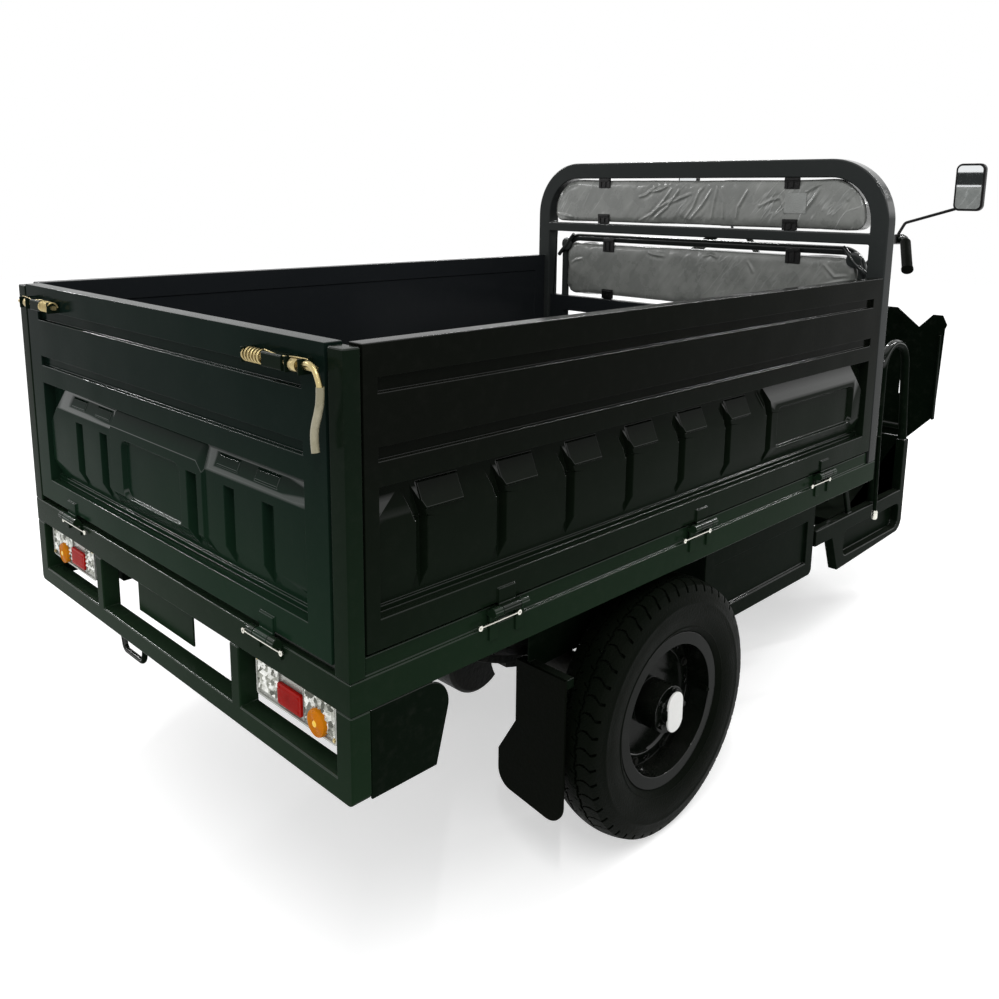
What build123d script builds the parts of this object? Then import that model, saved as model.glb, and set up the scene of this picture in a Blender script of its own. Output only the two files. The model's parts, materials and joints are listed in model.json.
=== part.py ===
from build123d import *
import math
import os

# Cargo tricycle in millimetres: X forward, Y left, Z up, tyres on z = 0.
# Lengths along X are measured from the rear face of the cargo box.
# Everything is moved to the middle of the overall length when it is written.

# Cargo box
box_width = 1250
box_length = 1805
box_top = 1157
sill_top = 645
rail_bottom = 590
rail_top = 676
rail_thickness = 50
rail_ledge_setback = 6
beam_depth = 40
floor_thickness = 9
floor_rib_height = 7
floor_rib_width = 60
floor_rib_count = 6
floor_rib_inset = 30
bearer_width = 40
bearer_count = 6
gate_gap = 6

# Walls of the box
wall_thickness = 32
top_rail_height = 52
groove_height = 23
field_height = 82
lower_groove_height = 21
mid_rail_height = 40
bottom_rail_height = 50
skin_setback = 25
groove_depth = 9
inner_skin_setback = 3
gate_stile = 62
side_rear_stile = 27
side_front_stile = 48
gate_lift = 15

# Pressed relief in the wall windows
relief_height = 17
relief_top_drop = 14
relief_top_slope = 38
relief_foot_slope = 36
relief_foot_rise = 16
relief_end_run = 12
relief_corner = 62
relief_small_corner = 3
channel_width = 26
channel_wall_run = 5
channel_head_drop = 66
channel_slant = 26
gate_channel_width = 36
gate_channel_shares = [-0.681, -0.445, 0.296, 0.534, 0.772]
gate_bulge_shares = [-0.36, 0.37]
gate_bulge_rise = 5
gate_recess_shares = [-0.26, 0.21]
recess_drop = 60
recess_rise = 30
recess_depth = 9
cap_width = 70
cap_height = 22
cap_rise = 4
cap_drop = 6
cap_shift = 14
cap_count_skip = 2
pad_width = 74
pad_rise = 3
pad_drop = 8
side_first_share = 0.0826
side_front_share = 0.6715
side_channel_count = 6
bead_height = 10
bead_rise = 5

# Posts, hoop and backrest
post_width = 40
post_depth = 30
post_top_drop = 4
hoop_tube_width = 50
hoop_tube_depth = 46
hoop_top = 1471
hoop_corner_share = 0.3814
hoop_bar_height = 30
hoop_bar_share = 0.5277
hoop_face_setback = 5
bulkhead_top = 1020
bulkhead_thickness = 30
rest_tube_radius = 12.5
rest_bar_drop = 36
rest_side_gap = 33
rest_corner_radius = 62
rest_foot_lap = 90
upper_cushion_side_gap = 20
upper_cushion_corner_share = 0.739
upper_cushion_foot_share = 0.217
lower_cushion_side_gap = 13.5
lower_cushion_lift = 8.5
lower_cushion_corner_share = 0.256
cushion_thickness = 52
cushion_clearance = 5
cushion_lap = 10
cushion_seat_gap = 0.3
clip_half_spacing = 338
clip_width = 46
clip_height = 32
clip_thickness = 8

# Rear bumper frame, lamps and plate bracket
bumper_bottom = 438
bumper_tube = 38
bumper_inner_post_width = 30
cheek_length = 212
cheek_thickness = 5
cheek_corner_radius = 45
cheek_slope_run = 40
bumper_edge_radius = 12
lamp_width = 235
lamp_height = 76
lamp_depth = 30
lamp_side_gap = 15
lamp_post_gap = 52
lamp_corner_radius = 5
lamp_setback = 12
lens_thickness = 6
red_lens_width = 72
red_lens_height = 52
red_lens_offset = 8
amber_lens_radius = 25
amber_lens_offset = 68
plate_bracket_share = 0.44
plate_shift_share = 0.187
plate_bracket_height = 95
plate_bracket_thickness = 4
plate_hole_radius = 4
plate_hole_margin = 42.92
plate_hole_drop = 28
loop_radius = 6
loop_drop = 42
loop_span = 110
loop_place = 170
loop_foot_run = 12

# Hinges and latches
hinge_pin_radius = 5
hinge_offset = 10
hinge_length = 84
hinge_knuckle_radius = 8.5
hinge_clearance = 0.1
gate_hinge_place = 400
side_hinge_shares = [0.183, 0.515, 0.826]
hinge_leaf_height = 26
hinge_leaf_thickness = 4
spring_radius = 13
spring_length = 54
bolt_rod_radius = 5
latch_spring_gap = 135
latch_drop = 37
latch_plate_length = 55
latch_plate_thickness = 3
latch_standoff = 1
lever_width = 13
lever_drop = 112
spring_plate_thickness = 4
spring_rod_reach = 12
lever_thickness = 8

# Chassis
chassis_rail_height = 80
chassis_rail_width = 50
chassis_rail_place = 330
chassis_rear = 60
chassis_overhang = 190
cross_tube_shares = [0.1385, 0.266, 0.6537, 0.886]
cross_tube_front_gap = 50
cross_tube_size = 40

# Rear wheels, axle and springs
rear_axle_share = 0.4549
track_setback = 26
rear_tyre_radius = 284.5
rear_tyre_width = 122
tread_crown = 9
tread_share = 0.8
tyre_seat_gap = 0.3
rim_flange_radius = 172
rim_barrel_radius = 150
rim_wall = 5
rim_width = 92
rim_disc_thickness = 7
rim_disc_setback = 62
hub_radius = 52
hub_cap_radius = 29
hub_cap_height = 14
drum_radius = 112
wheel_hole_radius = 11
wheel_hole_count = 8
front_hole_radius = 20
front_rim_width = 84
hub_face = 42
lug_count = 5
lug_radius = 6
lug_circle = 42
lug_height = 9
spindle_radius = 16
spindle_reach = 12
spindle_clearance = 0.1
drum_clearance = 5
axle_tube_radius = 32
axle_housing_gap = 92
backing_plate_thickness = 6
case_radius_share = 0.8
case_drop = 50
case_rise = 60
backing_plate_radius = 104
diff_radius = 102
diff_half_width = 70
motor_radius = 92
motor_length = 200
motor_setback = 140
motor_rise = 12
motor_edge = 8
leaf_half_span = 380
leaf_rise = 125
leaf_thickness = 9
leaf_count = 3
leaf_width = 50
hanger_thickness = 6
hanger_length = 44
hanger_lap = 25
leaf_step = 85
eye_radius = 18
eye_pin_radius = 9
flap_axle_gap = 302
flap_inner_gap = 198
flap_outer_gap = 19
flap_top_gap = 150
flap_neck_drop = 276
flap_shoulder_drop = 357
flap_side_drop = 25
flap_bottom = 155
flap_top_drop = 140
flap_bar_size = 20
shield_plate_place = 500
shield_plate_run = 400
shield_plate_bottom = 430
shield_plate_thickness = 4
flap_thickness = 6
flap_corner_radius = 40

# Battery box, seat and footboard
battery_spring_gap = 39
battery_overhang = 25
battery_side_gap = 175
battery_bottom = 250
battery_top = 470
battery_corner_radius = 20
battery_recess_depth = 8
battery_margin = 45
battery_strap_width = 40
battery_strap_inset = 70
seat_gap = 55
seat_depth = 320
seat_half_width = 325
seat_base_top = 700
seat_base_radius = 8
seat_cushion_height = 85
seat_cushion_lap = 10
seat_cushion_radius = 40
seat_cushion_edge = 25
seat_panel_thickness = 20
footboard_gap = 200
footboard_length = 480
footboard_side_gap = 205
footboard_top = 370
footboard_thickness = 30
toe_board_thickness = 5
toe_board_top = 560
step_frame_width = 30
step_frame_bottom = 212
step_frame_tilt = 20
step_frame_tube = 36
step_frame_rise = 556
step_frame_lip = 10
step_backing = 4
step_corner_radius = 45
step_recess_radius = 22
step_post_run = 250
guard_top = 920
guard_drop = 40
guard_radius = 80
guard_front_setback = 60
guard_foot_setback = 18
guard_tube_radius = 14
skirt_setback = 160
skirt_bottom = 330
skirt_arch = 50
brace_run = 75
brace_width = 26
brace_foot = 400

# Front frame and leg shield
frame_tube_radius = 22
frame_tube_place = 200
frame_ramp_gap = 50
frame_bend_radius = 36
frame_cross_radius = 25
down_tube_radius = 28
down_tube_clearance = 8
down_tube_join_share = 0.55
shield_run = 160
shield_thickness = 4
shield_top = 985
shield_half_width = 482
shield_gap_half = 155
shield_strip_top = 600
shield_bottom = 520
shield_foot_run = 102
shield_foot_rise = 92
shield_foot_inset = 15
shield_waist_inset = 6
shield_tip_drop = 15
shield_tip_run = 17
shield_horn_width = 33
shield_notch_place = 95
shield_notch_depth = 62
shield_inner_run = 175
shield_hole_place = 128
shield_hole_height = 700
shield_hole_length = 46
shield_hole_width = 18
shield_rib_depth = 18
shield_rib_length = 300
shield_rib_width = 6
shield_cross_radius = 12
shield_cross_setback = 120
shield_stay_radius = 10

# Steering and front wheel
rake = 26
steer_run = 120
steer_height = 900
fork_offset = 35
fork_half_spacing = 85
fork_leg_radius = 24
fork_tube_radius = 16
fork_leg_length = 300
stem_radius = 18
head_tube_radius = 30
head_tube_length = 170
head_tube_drop = 40
crown_thickness = 26
crown_depth = 76
crown_gap = 6
crown_side = 6
fork_top_reach = 20
fork_end_reach = 26
front_axle_reach = 30
front_tyre_radius = 273
front_tyre_width = 100
front_hub_half = 55
front_axle_radius = 9
guard_clearance = 23
mudguard_thickness = 4
mudguard_side = 26
mudguard_front_angle = 12
mudguard_rear_angle = 205
bar_radius = 11
bar_height = 985
bar_bend_radius = 28
bar_centre_half = 100
bar_knee_half = 280
bar_knee_rise = 235
bar_knee_reach = 20
bar_hand_half = 362
bar_hand_rise = 250
bar_hand_back = 45
grip_end_half = 420
grip_end_rise = 160
grip_end_back = 150
bar_clamp_half = 40
bar_clamp_height = 44
bar_clamp_depth = 46
grip_radius = 17
grip_length = 128
grip_end_gap = 8
grip_knob = 6
grip_knob_rise = 2
mirror_width = 92
mirror_height = 152
mirror_depth = 18
mirror_setback = 55
mirror_centre = 542
mirror_base = 1328
mirror_stalk_radius = 5
mirror_perch = 32
mirror_perch_place = 48
mirror_glass_thickness = 2
mirror_frame = 7
mirror_corner_radius = 20
mirror_glass_radius = 14
mirror_stalk_bend = 14
mirror_stalk_rise = 40
mirror_stalk_run = 8
mirror_stalk_side = 18
mirror_socket = 12
mirror_socket_rise = 8
headlamp_radius = 82
headlamp_length = 105
headlamp_back_radius = 38
headlamp_stay_radius = 14
headlamp_reach = 70
headlamp_rise = 16
headlamp_lens_thickness = 16
headlamp_lens_edge = 12

# Derived places
half_width = box_width / 2
floor_top = sill_top
axle_z = rear_tyre_radius
chassis_top = rail_bottom
rear_axle_place = box_length * rear_axle_share
rear_track_half = half_width - track_setback
axle_housing_half = rear_track_half - axle_housing_gap
flap_place = rear_axle_place - flap_axle_gap
chassis_front = box_length + chassis_overhang
cross_tube_places = [box_length * share for share in cross_tube_shares]
cross_tube_places += [chassis_front - cross_tube_front_gap]
side_hinge_places = [box_length * share for share in side_hinge_shares]
lamp_outer_edge = half_width - post_width - lamp_side_gap
bumper_inner_post = lamp_outer_edge - lamp_width - lamp_post_gap
plate_opening_half = bumper_inner_post - bumper_inner_post_width / 2
plate_bracket_width = 2 * plate_opening_half * plate_bracket_share
plate_bracket_centre = plate_opening_half * plate_shift_share
plate_hole_spacing = plate_bracket_width - 2 * plate_hole_margin
hoop_corner_radius = (hoop_top - bulkhead_top) * hoop_corner_share
hoop_bar_centre = bulkhead_top + (hoop_top - bulkhead_top) * hoop_bar_share
rest_bar_height = hoop_bar_centre - rest_bar_drop
rest_half_width = half_width - hoop_tube_width - rest_side_gap
battery_rear = rear_axle_place + leaf_half_span + battery_spring_gap
battery_front = box_length + battery_overhang
battery_half_width = half_width - battery_side_gap
seat_rear = box_length + seat_gap
seat_front = seat_rear + seat_depth
footboard_half_width = half_width - footboard_side_gap
footboard_rear = box_length + footboard_gap
footboard_front = footboard_rear + footboard_length
step_post_place = footboard_rear + step_post_run
shield_place = footboard_front + shield_run
steer_place = footboard_front + steer_run
mirror_place = steer_place - mirror_setback
chassis_bottom = chassis_top - chassis_rail_height
gate_bottom = sill_top + gate_lift
hinge_z = gate_bottom - hinge_offset
side_bottom = rail_top + gate_gap
side_hinge_z = side_bottom - hinge_offset
rake_rad = math.radians(rake)
steer_axis = Vector(math.sin(rake_rad), 0, -math.cos(rake_rad))
steer_normal = Vector(math.cos(rake_rad), 0, math.sin(rake_rad))


def steer_point(height):
    # The point of the steering axis at a height above the ground.
    return Vector(steer_place + (steer_height - height) * math.tan(rake_rad), 0, height)


wheel_height_on_axis = front_tyre_radius - fork_offset * math.sin(rake_rad)
front_wheel = steer_point(wheel_height_on_axis) + steer_normal * fork_offset
mudguard_radius = front_tyre_radius + guard_clearance + mudguard_thickness
rear_tip = -hinge_offset - hinge_knuckle_radius
front_tip = front_wheel.X + mudguard_radius * math.cos(math.radians(mudguard_front_angle))
middle = (rear_tip + front_tip) / 2


def block(x0, x1, y0, y1, z0, z1):
    # A box between two opposite corners.
    centre = Pos((x0 + x1) / 2, (y0 + y1) / 2, (z0 + z1) / 2)
    return centre * Box(abs(x1 - x0), abs(y1 - y0), abs(z1 - z0))


def rod(start, end, radius):
    # A round bar from one point to another.
    start = Vector(*start) if not isinstance(start, Vector) else start
    end = Vector(*end) if not isinstance(end, Vector) else end
    way = end - start
    return Plane(origin=start, z_dir=way) * Cylinder(radius, way.length,
                                                     align=(Align.CENTER, Align.CENTER, Align.MIN))


def bent_tube(points, bend_radius, radius):
    # A round tube along straight runs joined by arcs.
    path = FilletPolyline(*points, radius=bend_radius)
    section = Plane(origin=path @ 0, z_dir=path % 0) * Circle(radius)
    return sweep(section, path=path)


def cross_disc(x, z, y0, y1, radius):
    # A cylinder across the vehicle.
    return rod((x, y0, z), (x, y1, z), radius)


def mirrored(part):
    return mirror(part, about=Plane.XZ)


def both(part):
    return part + mirrored(part)


# A wall of the box, drawn lying flat: u along the wall, v up, w outward from the outer face.
def tapered(low, high, w_low, w_high):
    # A solid between two outlines at two depths, with flat sloping sides.
    lower = Pos(0, 0, w_low) * Polygon(*low, align=None)
    upper = Pos(0, 0, w_high) * Polygon(*high, align=None)
    return loft(Sketch() + [lower, upper], ruled=True)


def cornered(u0, u1, v0, v1, left, right):
    # An outline with its two upper corners cut off.
    return [(u0, v0), (u1, v0), (u1, v1 - right), (u1 - right, v1), (u0 + left, v1), (u0, v1 - left)]


def relief(u0, u1, v0, v1, left, right, rise):
    # A raised panel: short slopes at the ends, long ones above and below.
    base = -skin_setback
    low = cornered(u0, u1, v0, v1, left, right)
    high = cornered(u0 + relief_end_run, u1 - relief_end_run, v0 + relief_foot_slope, v1 - relief_top_slope,
                    left * 0.6, right * 0.6)
    return tapered(low, high, base - 1, base + rise)


def wall_blank(u0, u1, v0, v1, stile_left, stile_right):
    # Frame, grooved skin and window base of one drop wall.
    panel = block(u0, u1, v0, v1, -wall_thickness, 0)
    inner0 = u0 + stile_left
    inner1 = u1 - stile_right
    groove_top = v1 - top_rail_height
    field_top = groove_top - groove_height
    lower_top = field_top - field_height
    mid_top = lower_top - lower_groove_height
    window_top = mid_top - mid_rail_height
    window_bottom = v0 + bottom_rail_height
    panel -= block(inner0, inner1, groove_top, field_top, -groove_depth, 1)
    panel -= block(inner0, inner1, lower_top, mid_top, -groove_depth, 1)
    panel -= block(inner0, inner1, window_bottom, window_top, -skin_setback, 1)
    panel -= block(inner0, inner1, window_bottom, groove_top, -wall_thickness - 1,
                   -wall_thickness + inner_skin_setback)
    return panel, inner0, inner1, window_bottom, window_top


def channel(u, width, v_foot, v_head, top):
    # A pressed channel down the raised panel and its foot, as deep as the skin.
    half = width / 2
    inner = half - channel_wall_run
    low = [(u - inner, v_foot), (u + inner, v_foot), (u + inner, v_head - channel_wall_run),
           (u - inner, v_head - channel_wall_run)]
    high = [(u - half, v_foot - 2), (u + half, v_foot - 2), (u + half, v_head), (u - half, v_head)]
    return tapered(low, high, -skin_setback, top + 0.02)


def slanted_head(u, width, v_head, v_top, top):
    # Above a channel's head the next panel's corner slants back to the skin.
    half = width / 2
    low = [(u - half, v_head - 4), (u + half - channel_wall_run, v_head - 4),
           (u + half - channel_wall_run - channel_slant, v_top + 2), (u - half - channel_slant, v_top + 2)]
    high = [(u - half - 2, v_head - 4), (u + half, v_head - 4), (u + half - channel_slant, v_top + 2),
            (u - half - channel_slant - 2, v_top + 2)]
    return tapered(low, high, -skin_setback, top + 0.02)


def recess(u0, u1, v0, v1, top):
    # A flat panel pressed back into the plateau, with rounded corners.
    run = channel_wall_run
    radius = min(u1 - u0, v1 - v0) / 6
    lower = Pos((u0 + u1) / 2, (v0 + v1) / 2, top - recess_depth) * RectangleRounded(
        u1 - u0 - 2 * run, v1 - v0 - 2 * run, radius - run / 2)
    upper = Pos((u0 + u1) / 2, (v0 + v1) / 2, top + 0.02) * RectangleRounded(u1 - u0, v1 - v0, radius)
    return loft(Sketch() + [lower, upper])


def slope_pad(u0, u1, v_top, drop, rise):
    # A raised cap lying on the slope above a channel.
    slope = math.atan2(relief_height, relief_top_slope)
    way = Vector(0, -math.cos(slope), math.sin(slope))
    up = Vector(0, math.sin(slope), math.cos(slope))
    centre = Vector((u0 + u1) / 2, v_top, -skin_setback) + way * (drop / 2)
    plane = Plane(origin=centre, x_dir=(1, 0, 0), z_dir=up)
    body = plane * Box(u1 - u0, drop, 2 * rise)
    return chamfer(body.faces().sort_by(SortBy.AREA)[-2:].sort_by(Axis.Z)[-1].edges(), rise * 0.6)


def gate_panel():
    half = half_width - post_width - gate_gap
    panel, u0, u1, v0, v1 = wall_blank(-half, half, gate_bottom, box_top, gate_stile, gate_stile)
    top = relief_height - skin_setback
    reach = (u1 - u0) / 2
    relief_top = v1 - relief_top_drop
    foot = v0 + relief_foot_rise
    head = v1 - channel_head_drop
    panel += relief(u0 - relief_end_run * 0.5, u1 + relief_end_run * 0.5, foot, relief_top, relief_corner,
                    relief_small_corner, relief_height)
    bulge0 = gate_bulge_shares[0] * reach
    bulge1 = gate_bulge_shares[1] * reach
    panel += relief(bulge0 - relief_end_run, bulge1 + relief_end_run, foot, v1 - 2, relief_end_run,
                    relief_corner / 2, relief_height + gate_bulge_rise)
    for share in gate_channel_shares:
        panel -= channel(share * reach, gate_channel_width, foot, head, top + gate_bulge_rise)
    panel -= recess(gate_recess_shares[0] * reach, gate_recess_shares[1] * reach, foot + recess_rise,
                    v1 - recess_drop, top + gate_bulge_rise)
    for share in gate_channel_shares[:cap_count_skip] + gate_channel_shares[cap_count_skip + 1:]:
        middle_u = share * reach - cap_shift
        panel += slope_pad(middle_u - cap_width / 2, middle_u + cap_width / 2, relief_top - cap_drop,
                           cap_height, cap_rise)
    panel += bead(u0, u1, v0)
    return panel


def bead(u0, u1, v0):
    # A low ridge along the foot of the window.
    return block(u0, u1, v0 - 1, v0 + bead_height, -skin_setback - 1, -skin_setback + bead_rise)


def side_panel():
    panel, u0, u1, v0, v1 = wall_blank(
        post_depth + gate_gap / 2, box_length - hoop_tube_depth - gate_gap / 2, side_bottom, box_top,
        side_rear_stile, side_front_stile)
    top = relief_height - skin_setback
    relief_top = v1 - relief_top_drop
    foot = v0 + relief_foot_rise
    head = v1 - channel_head_drop
    first = box_length * side_first_share
    front = box_length * side_front_share
    pitch = (front - first) / side_channel_count
    panel += relief(u0 - relief_end_run, front, foot, relief_top, relief_small_corner, relief_small_corner,
                    relief_height)
    for step in range(side_channel_count):
        place = first + step * pitch
        panel += slope_pad(place + channel_width / 2 - channel_slant / 2,
                           place + channel_width / 2 + pad_width,
                           relief_top, relief_top_slope + pad_drop, pad_rise)
    panel += relief(front - channel_width / 2 - channel_slant, u1 - 2, foot, v1 - 2, relief_small_corner,
                    relief_corner, relief_height)
    for step in range(side_channel_count + 1):
        place = first + step * pitch
        panel -= channel(place, channel_width, foot, head, top + pad_rise * 2)
        panel -= slanted_head(place, channel_width, head, v1 - 2, top + pad_rise * 2)
    panel -= recess(front + channel_width * 1.5, u1 - relief_corner, foot + recess_rise, v1 - recess_drop,
                    top)
    panel += bead(u0, u1, v0)
    return panel


# Stand a wall up: the tailgate faces rearward, the right side faces -Y.
def stand_gate(panel):
    return Plane(origin=(0, 0, 0), x_dir=(0, -1, 0), z_dir=(-1, 0, 0)) * panel


def stand_side(panel):
    return Plane(origin=(0, -half_width, 0), x_dir=(1, 0, 0), z_dir=(0, -1, 0)) * panel


def hinge_knuckle(start, end, bore):
    # One barrel of a hinge around its pin.
    barrel = rod(start, end, hinge_knuckle_radius)
    if bore:
        barrel -= rod(start, end, hinge_pin_radius + hinge_clearance)
    return barrel


def gate_leaves():
    # The moving hinge leaves under the tailgate's lower edge.
    leaves = Part()
    for side in (-1, 1):
        y0 = side * gate_hinge_place - hinge_length / 4
        y1 = side * gate_hinge_place + hinge_length / 4
        leaves += hinge_knuckle((-hinge_offset, y0, hinge_z), (-hinge_offset, y1, hinge_z), True)
        leaf = block(-hinge_leaf_thickness, 0, y0, y1, hinge_z, gate_bottom + hinge_leaf_height)
        arm = block(-hinge_offset, 0, y0, y1, hinge_z + hinge_pin_radius + 1,
                    hinge_z + hinge_knuckle_radius)
        leaves += leaf - cross_disc(-hinge_offset, hinge_z, y0 - 1, y1 + 1,
                                    hinge_pin_radius + hinge_clearance)
        leaves += arm
    return leaves


def side_leaves():
    leaves = Part()
    y_pin = -half_width - hinge_offset
    for place in side_hinge_places:
        x0 = place - hinge_length / 4
        x1 = place + hinge_length / 4
        leaves += hinge_knuckle((x0, y_pin, side_hinge_z), (x1, y_pin, side_hinge_z), True)
        leaves += block(x0, x1, -half_width - hinge_leaf_thickness, -half_width, side_hinge_z,
                        side_bottom + hinge_leaf_height)
        leaves += block(x0, x1, y_pin, -half_width, side_hinge_z + hinge_pin_radius + 1,
                        side_hinge_z + hinge_knuckle_radius)
    return leaves


def hinge_pins():
    # Pins with the fixed barrels at both ends, carried by the sill and the side rails.
    pins = Part()
    quarter = hinge_length / 4
    for side in (-1, 1):
        y = side * gate_hinge_place
        pins += cross_disc(-hinge_offset, hinge_z, y - 2 * quarter, y + 2 * quarter, hinge_pin_radius)
        for y0, y1 in ((y - 2 * quarter, y - quarter - 1), (y + quarter + 1, y + 2 * quarter)):
            pins += cross_disc(-hinge_offset, hinge_z, y0, y1, hinge_knuckle_radius)
            pins += block(-hinge_offset, 0, y0, y1, hinge_z - hinge_knuckle_radius, hinge_z)
            pins += block(-hinge_leaf_thickness, 0, y0, y1, sill_top - hinge_leaf_height,
                          hinge_z - hinge_pin_radius)
    y_pin = -half_width - hinge_offset
    sides = Part()
    for place in side_hinge_places:
        sides += rod((place - 2 * quarter, y_pin, side_hinge_z), (place + 2 * quarter, y_pin, side_hinge_z),
                     hinge_pin_radius)
        for x0, x1 in ((place - 2 * quarter, place - quarter - 1),
                       (place + quarter + 1, place + 2 * quarter)):
            sides += rod((x0, y_pin, side_hinge_z), (x1, y_pin, side_hinge_z), hinge_knuckle_radius)
            sides += block(x0, x1, y_pin, -half_width + rail_ledge_setback,
                           side_hinge_z - hinge_knuckle_radius,
                           side_hinge_z)
            sides += block(x0, x1, -half_width - hinge_leaf_thickness, -half_width,
                           sill_top - hinge_leaf_height, side_hinge_z - hinge_pin_radius)
    return pins + both(sides)


def tailgate_latches():
    # Spring bolts at both ends of the top rail, and a hooked lever on the right.
    latches = Part()
    x = -spring_radius - latch_standoff
    z = box_top - latch_drop
    edge = half_width - post_width - gate_gap
    for side in (-1, 1):
        y_out = side * (edge - 1)
        y_plate = side * (edge - latch_spring_gap)
        y_spring = side * (edge - latch_spring_gap - spring_length)
        latches += cross_disc(x, z, y_spring - side * spring_rod_reach, y_out, bolt_rod_radius)
        latches += cross_disc(x, z, y_spring, y_plate, spring_radius)
        for y in (y_spring - side * spring_plate_thickness, y_plate + side * spring_plate_thickness):
            latches += block(2 * x, 0, y - spring_plate_thickness / 2, y + spring_plate_thickness / 2,
                             z - spring_radius, z + spring_radius)
        latches += block(x - bolt_rod_radius - latch_plate_thickness, 0, y_plate,
                         y_plate + side * latch_plate_length, z - spring_radius, z + spring_radius)
    lever_y = -edge + lever_width
    lever_top = z - spring_radius
    latches += block(x - lever_thickness / 2, x + lever_thickness / 2, lever_y - lever_width / 2,
                     lever_y + lever_width / 2, lever_top - lever_drop, z + bolt_rod_radius)
    latches += block(x, 0, lever_y - lever_width / 2, lever_y + lever_width / 2, z - bolt_rod_radius,
                     z + bolt_rod_radius)
    return latches


def bed_frame():
    # Side rails with a ledge, rear and front sills, and bearers under the floor.
    inner = half_width - rail_thickness
    rails = block(0, box_length, -half_width, -inner, rail_bottom, sill_top)
    rails += block(post_depth + gate_gap / 2, box_length - hoop_tube_depth,
                   -half_width + rail_ledge_setback, -inner,
                   sill_top, rail_top)
    frame = both(rails)
    frame += block(0, beam_depth, -half_width, half_width, rail_bottom, sill_top)
    frame += block(box_length - beam_depth, box_length, -half_width, half_width, rail_bottom, sill_top)
    pitch = (box_length - beam_depth) / (bearer_count + 1)
    for step in range(1, bearer_count + 1):
        x = beam_depth / 2 + step * pitch
        frame += block(x - bearer_width / 2, x + bearer_width / 2, -inner, inner, rail_bottom,
                       sill_top - floor_thickness)
    return frame


def cargo_floor():
    inner = half_width - rail_thickness
    floor = block(beam_depth, box_length - beam_depth, -inner, inner, floor_top - floor_thickness,
                  floor_top)
    pitch = 2 * inner / floor_rib_count
    for step in range(floor_rib_count):
        y = -inner + (step + 0.5) * pitch
        floor += block(beam_depth + floor_rib_inset, box_length - beam_depth - floor_rib_inset,
                       y - floor_rib_width / 2,
                       y + floor_rib_width / 2, floor_top, floor_top + floor_rib_height)
    return floor


def corner_posts():
    post = block(0, post_depth, -half_width, -half_width + post_width, sill_top, box_top - post_top_drop)
    return both(post)


def head_hoop():
    # A square tube bent over the front of the box, with a cross bar.
    outer = RectangleRounded(box_width, 2 * (hoop_top - sill_top), hoop_corner_radius)
    inner = RectangleRounded(box_width - 2 * hoop_tube_width, 2 * (hoop_top - sill_top - hoop_tube_width),
                             hoop_corner_radius - hoop_tube_width)
    ring = Plane(origin=(box_length, 0, sill_top), x_dir=(0, 1, 0), z_dir=(-1, 0, 0)) * extrude(
        outer - inner, hoop_tube_depth)
    hoop = ring & block(0, 2 * box_length, -box_width, box_width, sill_top, 2 * hoop_top)
    inside = half_width - hoop_tube_width
    hoop += block(box_length - hoop_tube_depth, box_length - hoop_face_setback, -inside, inside,
                  hoop_bar_centre - hoop_bar_height / 2, hoop_bar_centre + hoop_bar_height / 2)
    return hoop


def front_bulkhead():
    inside = half_width - hoop_tube_width
    x1 = box_length - hoop_face_setback
    x0 = x1 - bulkhead_thickness
    wall = block(x0, x1, -inside, inside, sill_top, bulkhead_top)
    field_bottom = sill_top + bottom_rail_height
    field_top = bulkhead_top - top_rail_height
    wall -= block(x0 - 1, x0 + skin_setback, -inside + gate_stile, inside - gate_stile, field_bottom,
                  field_top)
    wall -= block(x1 - skin_setback, x1 + 1, -inside + gate_stile, inside - gate_stile, field_bottom,
                  field_top)
    return wall


def backrest_frame():
    # A round tube bent down at both ends, standing on the bulkhead's front face.
    x = box_length - hoop_face_setback + rest_tube_radius
    foot = bulkhead_top - rest_foot_lap
    return bent_tube(
        [(x, -rest_half_width, foot), (x, -rest_half_width, rest_bar_height),
         (x, rest_half_width, rest_bar_height),
         (x, rest_half_width, foot)], rest_corner_radius, rest_tube_radius)


upper_cushion_half_width = half_width - hoop_tube_width - upper_cushion_side_gap
upper_cushion_bottom = hoop_bar_centre + hoop_bar_height / 2 + cushion_clearance
upper_cushion_top = hoop_top - hoop_tube_width - cushion_clearance
upper_cushion_rear = box_length - hoop_tube_depth + cushion_lap
lower_cushion_half_width = rest_half_width - rest_tube_radius - lower_cushion_side_gap
lower_cushion_top = rest_bar_height - rest_tube_radius - cushion_clearance
lower_cushion_bottom = bulkhead_top + lower_cushion_lift
lower_cushion_rear = box_length - hoop_face_setback + cushion_seat_gap


def upper_cushion():
    body = block(upper_cushion_rear, upper_cushion_rear + cushion_thickness, -upper_cushion_half_width,
                 upper_cushion_half_width, upper_cushion_bottom, upper_cushion_top)
    height = upper_cushion_top - upper_cushion_bottom
    corners = body.edges().filter_by(Axis.X).group_by(Axis.Z)[-1]
    body = fillet(corners, height * upper_cushion_corner_share)
    low = body.edges().filter_by(Axis.X).group_by(Axis.Z)[0]
    return fillet(low, height * upper_cushion_foot_share)


def lower_cushion():
    body = block(lower_cushion_rear, lower_cushion_rear + cushion_thickness, -lower_cushion_half_width,
                 lower_cushion_half_width, lower_cushion_bottom, lower_cushion_top)
    height = lower_cushion_top - lower_cushion_bottom
    return fillet(body.edges().filter_by(Axis.X), height * lower_cushion_corner_share)


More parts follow.
